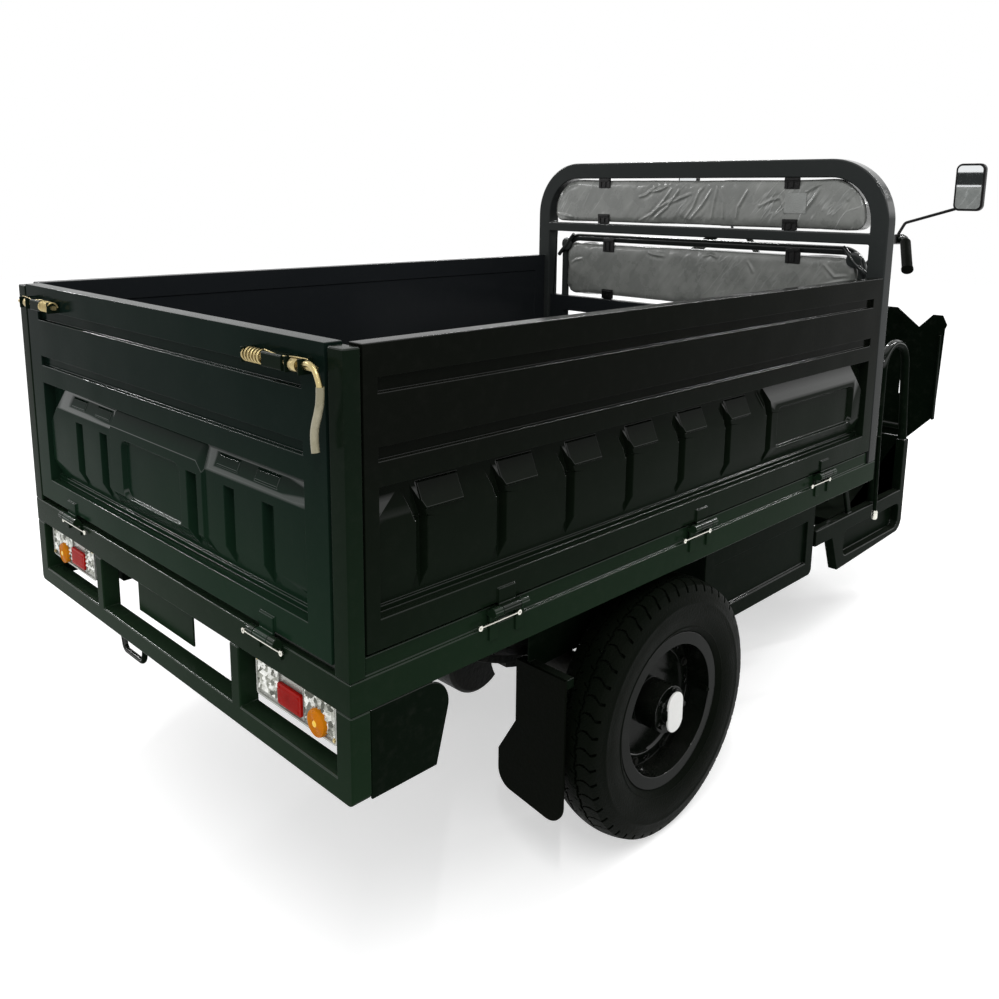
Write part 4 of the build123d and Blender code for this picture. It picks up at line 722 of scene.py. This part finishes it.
# Front rods: a thin rod with a bright foot beside each front corner of the bed
frontRod = {"across": 0.622, "thick": 0.0055, "line": [(1.826, 0.71), (1.832, 0.6), (1.838, 0.49)],
    "footPlace": (1.8385, 0.478), "foot": [(0.0001, 0.014), (0.0065, 0.013), (0.0085, 0.009),
    (0.0085, -0.009), (0.0065, -0.013), (0.0001, -0.014)]}
for side, name in ((-1, "right"), (1, "left")):
    across = side * frontRod["across"]
    stem = strand("front_rod_" + name, [bed(x, across, z) for x, z in frontRod["line"]], frontRod["thick"])
    dress(stem, "chassis_black_and_painted_shade", "chassis", "chassis_black")
    foot = lathe("rod_foot_" + name, frontRod["foot"], 28)
    x, z = frontRod["footPlace"]
    turned(foot, bed(x, across, z), (0, 0, 1))
    smooth(foot, 40)
    dress(foot, "steel_bright", "chassis", "zinc")

# Tail lamps: a silvered body with prism fields, a red square and a ribbed amber dome
lamp = {"face": -1.6003, "deep": 0.03, "foot": 0.5142, "head": 0.5898, "inner": 0.3352, "outer": 0.5698,
    "corner": 0.006, "lip": 0.0035, "lipSlope": 0.001, "edge": 0.006, "gap": 0.003,
    "prismFace": 0.0012, "prismLow": 0.026, "prismHigh": 0.031, "finHalf": 0.0009, "finGap": 0.0015,
    "redHalf": 0.0352, "redLevel": 0.5447, "redHigh": 0.0195, "redFace": -0.0035, "redEdge": 0.005,
    "amberLevel": 0.5365, "amberFace": -0.001, "coreFace": -0.0088,
    "redPlace": {-1: 0.4417, 1: 0.4187}, "amberPlace": {-1: 0.5205, 1: 0.4985},
    "core": [(0.0001, 0.0), (0.005, -0.0005), (0.007, -0.003), (0.0075, -0.006)],
    "screws": [(0.3415, 0.5815), (0.5635, 0.5225)], "screwRadius": 0.003}
dome = {"ribs": 20, "pitch": 0.0012, "high": 0.0062, "fall": 4.6, "rib": 0.0009,
    "skirt": [(0.0238, 0.002), (0.0241, -0.003)]}


def prismField(name, low, high, cells, rise):
    # a panel of small pyramids facing rearward
    bpy.ops.mesh.primitive_grid_add(x_subdivisions=cells[0], y_subdivisions=cells[1], size=1)
    panel = named(name)
    panel.scale = (high[1] - low[1], high[2] - low[2], 1)
    panel.rotation_euler = (math.radians(90), 0, math.radians(-90))
    panel.location = (Vector(low) + Vector(high)) / 2
    settle(panel)
    chooseFaces(panel)
    bpy.ops.mesh.poke(offset=rise)
    setMode('OBJECT')
    modified(panel, 'SOLIDIFY', thickness=0.002)
    return panel


def buildLamp(side, name):
    face = lamp["face"]
    ends = sorted((side * lamp["inner"], side * lamp["outer"]))
    body = cube("lamp_body_" + name, (face, ends[0], lamp["foot"]),
        (face + lamp["deep"], ends[1], lamp["head"]))
    roundAlong(body, 0, lamp["corner"], 4)
    chooseFaces(body, lambda centre, normal: normal.x < -0.99)
    bpy.ops.mesh.inset(thickness=lamp["lip"], depth=0.0)
    bpy.ops.mesh.inset(thickness=lamp["lipSlope"], depth=-lamp["lip"])
    setMode('OBJECT')
    rounded(body, 0.0006)
    middle = (lamp["foot"] + lamp["head"]) / 2
    foot, head = middle - lamp["prismLow"], middle + lamp["prismHigh"]
    redAt, amberAt = lamp["redPlace"][side], lamp["amberPlace"][side]
    near, far = redAt - lamp["redHalf"], redAt + lamp["redHalf"]
    fields = []
    for label, start, end, cells, rise in (
            ("reverse", lamp["inner"] + lamp["edge"], near - lamp["gap"], (6, 6), 0.0042),
            ("reflector", far + lamp["gap"], lamp["outer"] - lamp["edge"], (9, 6), 0.0028)):
        y0, y1 = sorted((side * start, side * end))
        depth = face + lamp["prismFace"]
        fields.append(prismField(label + "_prisms_" + name, (depth, y0, foot), (depth, y1, head), cells,
            rise))
    prisms = join(fields, "lamp_prisms_" + name)
    dress(prisms, "lamp_crystal", "chassis", "lamp_clear")
    fins = []
    for place in (near - lamp["finGap"], far + lamp["finGap"]):
        fins.append(cube("divider", (face + 0.0005, side * place - lamp["finHalf"],
            middle - lamp["prismHigh"]), (face + 0.004, side * place + lamp["finHalf"], head)))
    shell = join([body] + fins, "tail_lamp_" + name)
    smooth(shell, 25)
    dress(shell, "lamp_silver", "chassis", "lamp_clear")
    red0, red1 = side * redAt - lamp["redHalf"], side * redAt + lamp["redHalf"]
    redFoot, redHead = lamp["redLevel"] - lamp["redHigh"], lamp["redLevel"] + lamp["redHigh"]
    front, edge = face + lamp["redFace"], lamp["redEdge"]
    block = cube("red_block_" + name, (front, red0, redFoot), (face + 0.003, red1, redHead))
    roundAlong(block, 0, edge, 4)
    rounded(block, 0.0014, 3)
    field = prismField("red_prisms_" + name, (front, red0 + edge, redFoot + edge),
        (front, red1 - edge, redHead - edge), (9, 5), 0.0017)
    red = join([block, field], "red_lens_" + name)
    smooth(red, 25)
    dress(red, "lamp_red", "chassis", "lamp_red")
    ripple = [(0.0001, dome["high"])]
    for step in range(1, dome["ribs"]):
        reach = step * dome["pitch"]
        ripple.append((reach,
            dome["high"] - dome["fall"] * reach * reach + (dome["rib"] if step % 2 else 0.0)))
    amber = lathe("amber_lens_" + name, ripple + dome["skirt"], 48)
    turned(amber, (face + lamp["amberFace"], side * amberAt, lamp["amberLevel"]), (-1, 0, 0))
    smooth(amber, 60)
    dress(amber, "lamp_amber", "chassis", "lamp_amber")
    bulb = lathe("amber_core_" + name, lamp["core"], 24)
    turned(bulb, (face + lamp["coreFace"], side * amberAt, lamp["amberLevel"]), (-1, 0, 0))
    dress(bulb, "lamp_core", "chassis", "lamp_amber")
    screws = copies(boltHead("lamp_screw", (-1, 0, 0), lamp["screwRadius"]),
        [(face + 0.001, side * across, level) for across, level in lamp["screws"]], "lamp_screws_" + name)
    dress(screws, "zinc_plate", "chassis", "zinc")


buildLamp(-1, "right")
buildLamp(1, "left")
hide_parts("tail_lamp_bodies")
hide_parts("lamp_red_lenses")
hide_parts("lamp_amber_lenses")
print("lamps built")

# Cushions: cloth blown up over a voxel copy of the CAD shape, then creased along drawn folds, given in
# millimetres across and above the ground
cushions = {
    "upper_cushion": {
        "cell": 0.005, "inset": 0.001, "cap": 0.005, "fill": 0.7, "front": 1.769, "grow": (1.01, 1.044),
        "cover": "cushion_film", "folds": [
            [(192, 1286), (144, 1310), (98, 1354), (71, 1389)], [(162, 1290), (115, 1330), (56, 1362)],
            [(24, 1290), (-10, 1332), (-30, 1378), (-51, 1400)], [(195, 1362), (168, 1369), (130, 1397)],
            [(78, 1343), (41, 1358), (-2, 1374)], [(-78, 1302), (-85, 1350), (-95, 1397)],
            [(-119, 1304), (-117, 1350), (-101, 1386)], [(-164, 1304), (-168, 1336), (-198, 1386)],
            [(-238, 1340), (-269, 1355), (-303, 1365), (-319, 1325)],
            [(-380, 1329), (-399, 1354), (-423, 1391)], [(-382, 1381), (-405, 1395), (-425, 1404)],
            [(-506, 1361), (-522, 1382), (-523, 1395)], [(520, 1376), (489, 1396), (458, 1403)],
            [(542, 1338), (529, 1359), (507, 1383)], [(551, 1304), (513, 1298), (477, 1292)],
            [(149, 1378), (111, 1385), (88, 1397)], [(133, 1297), (85, 1332), (43, 1385)],
            [(1, 1294), (-43, 1340), (-73, 1385)]]},
    "lower_cushion": {
        "cell": 0.005, "inset": 0.001, "cap": 0.005, "fill": 0.7, "front": 1.8003, "grow": (1.018, 1.036),
        "cover": "calm_film", "folds": [
            [(-436, 1179), (-468, 1148), (-500, 1152)], [(170, 1183), (142, 1178), (114, 1176)],
            [(-194, 1174), (-206, 1157), (-210, 1145)], [(500, 1133), (480, 1145), (455, 1150)],
            [(-40, 1184), (-61, 1191), (-83, 1183)], [(-411, 1112), (-470, 1131), (-500, 1140)]]},
    "seat_cushion": {
        "cell": 0.007, "inset": 0.007, "cap": 0.01, "fill": 0.75, "front": 0.0, "grow": (1.0, 1.0),
        "cover": "seat_skin", "folds": []}}
crease = {"height": 0.0028, "width": 0.0032, "valley": 0.0055, "valleyAt": 2.4, "valleyShare": 0.3,
    "reach": 0.03, "endShare": 0.12, "foldedDeep": 0.02}
puff = {"pressure": 4.0, "shrink": -0.03, "quality": 5, "frames": 20}


def foldAmount(across, up, folds):
    # a raised line with a shallow valley beside it, strongest along the middle of each fold
    total = 0.0
    for line in folds:
        best = None
        spans = len(line) - 1
        for index in range(spans):
            (y0, z0), (y1, z1) = line[index], line[index + 1]
            dy, dz = y1 - y0, z1 - z0
            along = max(0.0, min(1.0, ((across - y0) * dy + (up - z0) * dz) / (dy * dy + dz * dz)))
            away = math.hypot(across - y0 - along * dy, up - z0 - along * dz)
            if best is None or away < best[0]:
                best = (away, (index + along) / spans)
        away, place = best
        if away < crease["reach"]:
            strength = math.sin(math.pi * (crease["endShare"] + (1 - 2 * crease["endShare"]) * place))
            ridge = math.exp(-(away / crease["width"]) ** 2)
            dip = math.exp(-((away - crease["valleyAt"] * crease["width"]) / crease["valley"]) ** 2)
            total += strength * (ridge - crease["valleyShare"] * dip)
    return total * crease["height"]


def puffUp(pad):
    cloth = pad.modifiers.new("puff", 'CLOTH')
    setAll(cloth.settings, use_pressure=True, uniform_pressure_force=puff["pressure"],
        shrink_min=puff["shrink"], quality=puff["quality"])
    cloth.settings.effector_weights.gravity = 0.0
    setAll(cloth.point_cache, frame_start=1, frame_end=puff["frames"])
    for step in range(puff["frames"]):
        scene.frame_set(step + 1)
    applyAll(pad)


def buildCushion(node, spec):
    pad = nodeCopy(node, node + "_stuffed")
    chooseFaces(pad)
    bpy.ops.transform.resize(value=(1, *spec["grow"]), center_override=nodeMiddle(node))
    bpy.ops.transform.shrink_fatten(value=-spec["inset"])
    setMode('OBJECT')
    modified(pad, 'REMESH', mode='VOXEL', voxel_size=spec["cell"])
    before = [vertex.co.copy() for vertex in pad.data.vertices]
    puffUp(pad)
    for vertex, start in zip(pad.data.vertices, before):
        # no point goes further than the cap from where it started
        move = vertex.co - start
        if move.length > spec["cap"]:
            vertex.co = start + move * (spec["cap"] / move.length)
    modified(pad, 'SUBSURF', levels=1)
    rear = spec["front"] - bedRear + crease["foldedDeep"]
    folds = [[(y / 1000, z / 1000) for y, z in line] for line in spec["folds"]]
    for vertex in pad.data.vertices:
        if folds and vertex.co.x < rear:
            vertex.co.x -= foldAmount(vertex.co.y, vertex.co.z, folds)
    smooth(pad, 180)
    dress(pad, spec["cover"], "chassis", nodeSlots[node], node)
    print(node, "stuffed")


for node, spec in cushions.items():
    buildCushion(node, spec)

# A pale tape between the right-hand clips of the upper cushion
tape = {"depth": 1.755, "across": -0.3515, "level": 1.35, "width": 0.066, "height": 0.056, "lift": 0.0012,
    "thick": 0.0008}
bpy.ops.mesh.primitive_grid_add(x_subdivisions=16, y_subdivisions=14, size=1)
patch = named("cushion_tape")
patch.scale = (tape["width"], tape["height"], 1)
patch.rotation_euler = (math.radians(90), 0, math.radians(-90))
patch.location = bed(tape["depth"], tape["across"], tape["level"])
settle(patch)
modified(patch, 'SHRINKWRAP', target=bpy.data.objects["upper_cushion_stuffed"], wrap_method='PROJECT',
    use_project_x=True, use_project_y=False, use_project_z=False, use_positive_direction=True,
    use_negative_direction=True, offset=tape["lift"])
modified(patch, 'SOLIDIFY', thickness=tape["thick"], offset=0.0)
smooth(patch, 50)
dress(patch, "tape_grey", "chassis", None)

# Pivot plates and folding arms at the ends of the lower backrest
restPivot = {"plate": [(0.0001, 0.006), (0.007, 0.006), (0.0085, 0.0035), (0.017, 0.0035), (0.021, 0.0015),
    (0.022, -0.005)], "place": (1.792, 0.522, 1.1985), "thick": 0.0065,
    "arm": [(1.793, 0.49, 1.2326), (1.791, 0.507, 1.2145), (1.79, 0.5225, 1.1931), (1.792, 0.545, 1.174),
    (1.797, 0.56, 1.16)]}
for side, name in ((-1, "right"), (1, "left")):
    x, y, z = restPivot["place"]
    plate = lathe("pivot_" + name, restPivot["plate"], 40)
    turned(plate, bed(x, side * y, z), (-1, 0, 0))
    arm = strand("arm_" + name, [bed(x, side * y, z) for x, y, z in restPivot["arm"]], restPivot["thick"])
    pivot = join([plate, arm], "rest_pivot_" + name)
    smooth(pivot, 40)
    dress(pivot, "black_paint", "chassis", "paint_black")

# Clips: toothed buckles that hold the cushions to the tubes. Each block runs from near to far behind the
# clip's face, from left to right in half widths, and from a height above the foot or below the head up to
# the head
clip = {"places": [(1.7607, 1.389, 1.421), (1.7607, 1.273, 1.305), (1.792, 1.02, 1.052),
    (1.792, 1.1775, 1.222)], "across": 0.338, "half": 0.023, "soft": 0.0011,
    "blocks": [(0.003, 0.008, -0.78, 0.78, 0.0, 0.0), (0.0, 0.008, -1, 1, -0.012, 0.0),
    (0.001, 0.007, -1, -0.58, 0.001, -0.01), (0.001, 0.007, 0.58, 1, 0.001, -0.01),
    (0.0005, 0.008, -0.24, 0.24, 0.004, -0.008), (-0.0015, 0.002, -0.9, 0.9, -0.0085, -0.0045)]}
blocks = []
for side in (-1, 1):
    for rear, foot, head in clip["places"]:
        middle = side * clip["across"]
        for near, far, left, right, up, down in clip["blocks"]:
            low = foot + up if up >= 0 else head + up
            blocks.append(cube("clip_block", bed(rear + near, middle + left * clip["half"], low),
                bed(rear + far, middle + right * clip["half"], head + down)))
buckles = join(blocks, "buckles")
rounded(buckles, clip["soft"])
dress(buckles, "moulded_black", "chassis", "clip", "cushion_clips")
print("clips built")

# Hinge wires: a bright rod with an eye at each end, below each pair of knuckles
rod = {"thick": 0.0017, "eye": 0.0054, "eyeBore": 0.0018, "eyeHalf": 0.002, "gateDepth": -0.0052,
    "gateLevel": 0.634,
    "gateAcross": 0.388, "gateHalf": 0.058, "sideEdge": 0.6305, "sideLevel": 0.6515, "sideBack": 0.019,
    "sideHalf": 0.047, "sidePlaces": (0.33, 0.93, 1.491)}


def buildRod(start, end):
    out = Vector((0, 0, 1)).cross((end - start).normalized())
    pieces = [strand("rod", [start, (start + end) / 2, end], rod["thick"])]
    bore, thick, edge = rod["eyeBore"], rod["eyeHalf"], rod["eye"] * 0.9
    for place in (start, end):
        eye = lathe("rod", [(bore, -thick), (edge, -thick), (rod["eye"], 0.0), (edge, thick), (bore, thick)],
            24, True)
        pieces.append(turned(eye, place, out))
    return join(pieces, "rod")


rods = []
for across in (-rod["gateAcross"], rod["gateAcross"]):
    rods.append(buildRod(bed(rod["gateDepth"], across - rod["gateHalf"], rod["gateLevel"]),
        bed(rod["gateDepth"], across + rod["gateHalf"], rod["gateLevel"])))
for side in (-1, 1):
    for along in rod["sidePlaces"]:
        centre = along - rod["sideBack"]
        rods.append(buildRod(bed(centre - rod["sideHalf"], side * rod["sideEdge"], rod["sideLevel"]),
            bed(centre + rod["sideHalf"], side * rod["sideEdge"], rod["sideLevel"])))
wires = join(rods, "hinge_wires")
smooth(wires, 40)
dress(wires, "steel_bright", "chassis", "zinc")
print("hinge wires built")

# Tailgate latches: coil springs on bolts, dark guide plates and the hooked lever with its sleeve
latch = {"line": 1.12, "depth": -0.014, "springInner": 0.39, "springOuter": 0.444, "turns": 6,
    "turnSteps": 12,
    "coil": 0.0108, "wire": 0.0019, "bolt": [0.382, 0.5, 0.578], "boltThick": 0.005, "collarAt": 0.528,
    "collar": [(0.0052, -0.009), (0.0095, -0.009), (0.0105, -0.006), (0.0105, 0.006), (0.0095, 0.009),
    (0.0052, 0.009)],
    "link": [(0.0, 0.444, 0.0125), (-0.003, 0.47, 0.0105), (-0.004, 0.5, 0.009), (-0.002, 0.53, 0.0125),
    (0.0, 0.56, 0.0115)], "linkThick": 0.0011,
    "plate": (-0.022, 0.445, 0.499), "plateLow": -0.013, "plateHigh": 0.011, "plateCorner": 0.003,
    "ears": (0.392, 0.513, 0.548), "earDepth": -0.0255, "earThick": 0.003, "earHalf": 0.012, "soft": 0.0008}


def buildLatch(side, name):
    line, depth = latch["line"], latch["depth"]
    points = []
    count = latch["turns"] * latch["turnSteps"]
    for step in range(count + 1):
        angle = 2 * math.pi * step / latch["turnSteps"]
        along = latch["springInner"] + (latch["springOuter"] - latch["springInner"]) * step / count
        points.append(bed(depth + latch["coil"] * math.cos(angle), side * along,
            line + latch["coil"] * math.sin(angle)))
    spring = strand("latch_spring_" + name, points, latch["wire"], 4, 3, 3)
    bolt = strand("latch_bolt_" + name, [bed(depth, side * along, line) for along in latch["bolt"]],
        latch["boltThick"])
    collar = lathe("latch_collar_" + name, latch["collar"], 28)
    turned(collar, bed(depth, side * latch["collarAt"], line), (0, 1, 0))
    link = strand("latch_wire_" + name, [bed(depth + x, side * y, line + z) for x, y, z in latch["link"]],
        latch["linkThick"])
    metal = join([spring, bolt, collar, link], "latch_metal_" + name)
    dress(metal, "zinc_plate", "tailgate_body", "zinc")
    rear, inner, outer = latch["plate"]
    y0, y1 = sorted((side * inner, side * outer))
    plate = cube("latch_plate_" + name, bed(rear, y0, line + latch["plateLow"]),
        bed(0, y1, line + latch["plateHigh"]))
    roundAlong(plate, 1, latch["plateCorner"], 3)
    ears = []
    for place in latch["ears"]:
        y0, y1 = sorted((side * place, side * (place + latch["earThick"])))
        ears.append(cube("ear", bed(latch["earDepth"], y0, line - latch["earHalf"]),
            bed(0, y1, line + latch["earHalf"])))
    guides = join([plate] + ears, "latch_guides_" + name)
    rounded(guides, latch["soft"])
    dress(guides, "frame_paint", "tailgate_body", "paint")


buildLatch(-1, "right")
buildLatch(1, "left")
lever = {"thick": 0.0046, "sleeveThick": 0.0063, "sleeveFrom": 4,
    "path": [(-0.014, -0.545, 1.1205), (-0.02, -0.562, 1.1275), (-0.022, -0.579, 1.1275),
    (-0.022, -0.591, 1.117), (-0.022, -0.599, 1.098), (-0.022, -0.599, 1.079),
    (-0.022, -0.592, 1.057), (-0.022, -0.584, 1.039), (-0.022, -0.581, 1.018),
    (-0.022, -0.584, 1.000)]}
path = [bed(*place) for place in lever["path"]]
hook = strand("latch_lever", path, lever["thick"])
dress(hook, "zinc_plate", "tailgate_body", "zinc", "tailgate_latches")
sleeve = strand("latch_sleeve", path[lever["sleeveFrom"]:], lever["sleeveThick"], 3, 8, 6)
dress(sleeve, "sleeve_plastic", "tailgate_body", None)
print("latches built")

# Studio: pale floor, white surround for camera, glossy and transmission rays, and narrow plain lamps
studio = {"floorHalf": 14.0, "floorDrop": 0.001, "floorTone": (0.8, 0.8, 0.8), "floorGlow": 0.5,
    "worldLight": 0.8, "lamps": {"key": ((-2.6, -2.0, 3.9), (-0.2, 0, 0.7), 45, 0.07, 2.4),
    "side_streak": ((2.6, -1.5, 3.3), (0, -0.6, 0.9), 40, 0.1, 2.2),
    "gate_streak": ((-2.6, 3.7, 2.6), (-1.6, 0.1, 0.9), 30, 2.4, 0.08),
    "rim": ((2.6, 2.2, 3.6), (0, 0, 0.8), 40, 0.1, 2.4)}}


def seenRays(tree):
    path = tree.nodes.new('ShaderNodeLightPath')
    seen = mathNode(tree, 'MAXIMUM', path.outputs['Is Camera Ray'], path.outputs['Is Glossy Ray'])
    return mathNode(tree, 'MAXIMUM', seen, path.outputs['Is Transmission Ray'])


def buildFloor():
    bpy.ops.mesh.primitive_plane_add(size=2 * studio["floorHalf"], location=(0, 0, -studio["floorDrop"]))
    floor = named("studio_floor")
    settle(floor)
    material, tree, shader = startMaterial("studio_floor", {"Base Color": studio["floorTone"],
        "Roughness": 0.9, "Specular IOR Level": 0.0})
    glow = tree.nodes.new('ShaderNodeEmission')
    feed(tree, glow.inputs['Strength'], times(tree, seenRays(tree), studio["floorGlow"]))
    both = tree.nodes.new('ShaderNodeAddShader')
    feed(tree, both.inputs[0], shader.outputs['BSDF'])
    feed(tree, both.inputs[1], glow.outputs['Emission'])
    tree.links.new(both.outputs[0], tree.nodes['Material Output'].inputs['Surface'])
    paintWith(floor, material)


def buildWorld():
    world = bpy.data.worlds.new("studio_world")
    scene.world = world
    world.use_nodes = True
    tree = world.node_tree
    ground = tree.nodes['Background']
    ground.inputs['Color'].default_value = (1, 1, 1, 1)
    extra = times(tree, seenRays(tree), 1.0 - studio["worldLight"])
    feed(tree, ground.inputs['Strength'], mathNode(tree, 'ADD', extra, studio["worldLight"]))


def addLamp(name, place, target, power, width, height):
    bpy.ops.object.light_add(type='AREA', location=place)
    light = named(name)
    setAll(light.data, shape='RECTANGLE', size=width, size_y=height, energy=power)
    light.rotation_euler = (Vector(target) - Vector(place)).to_track_quat('-Z', 'Y').to_euler()


view = {"place": (-2.392777, -1.70687, 1.36677), "yaw": 0.781915, "pitch": 0.191432, "roll": 0.0105624,
    "focal": 959.4064, "centre": (499.5, 380.0), "frame": 999.0, "sensor": 36.0, "clip": 100}


def buildCamera():
    # the photograph's own view, measured from its edges
    bpy.ops.object.camera_add(location=view["place"])
    camera = named("photo_view")
    camera.rotation_mode = 'QUATERNION'
    yaw, pitch, roll = view["yaw"], view["pitch"], view["roll"]
    ahead = Vector((math.cos(pitch) * math.cos(yaw), math.cos(pitch) * math.sin(yaw), -math.sin(pitch)))
    right = ahead.cross(Vector((0, 0, 1))).normalized()
    up = right.cross(ahead)
    turn = camera.matrix_world.to_3x3()
    turn.col[0] = right * math.cos(roll) + up * math.sin(roll)
    turn.col[1] = up * math.cos(roll) - right * math.sin(roll)
    turn.col[2] = -ahead
    camera.rotation_quaternion = turn.to_quaternion()
    setAll(camera.data, sensor_width=view["sensor"], lens=view["focal"] / view["frame"] * view["sensor"],
        shift_x=0.5 - view["centre"][0] / view["frame"], shift_y=view["centre"][1] / view["frame"] - 0.5,
        clip_end=view["clip"])
    scene.camera = camera


buildFloor()
buildWorld()
for name, values in studio["lamps"].items():
    addLamp(name, *values)
buildCamera()
scene.view_settings.view_transform = 'Standard'
print("studio set")
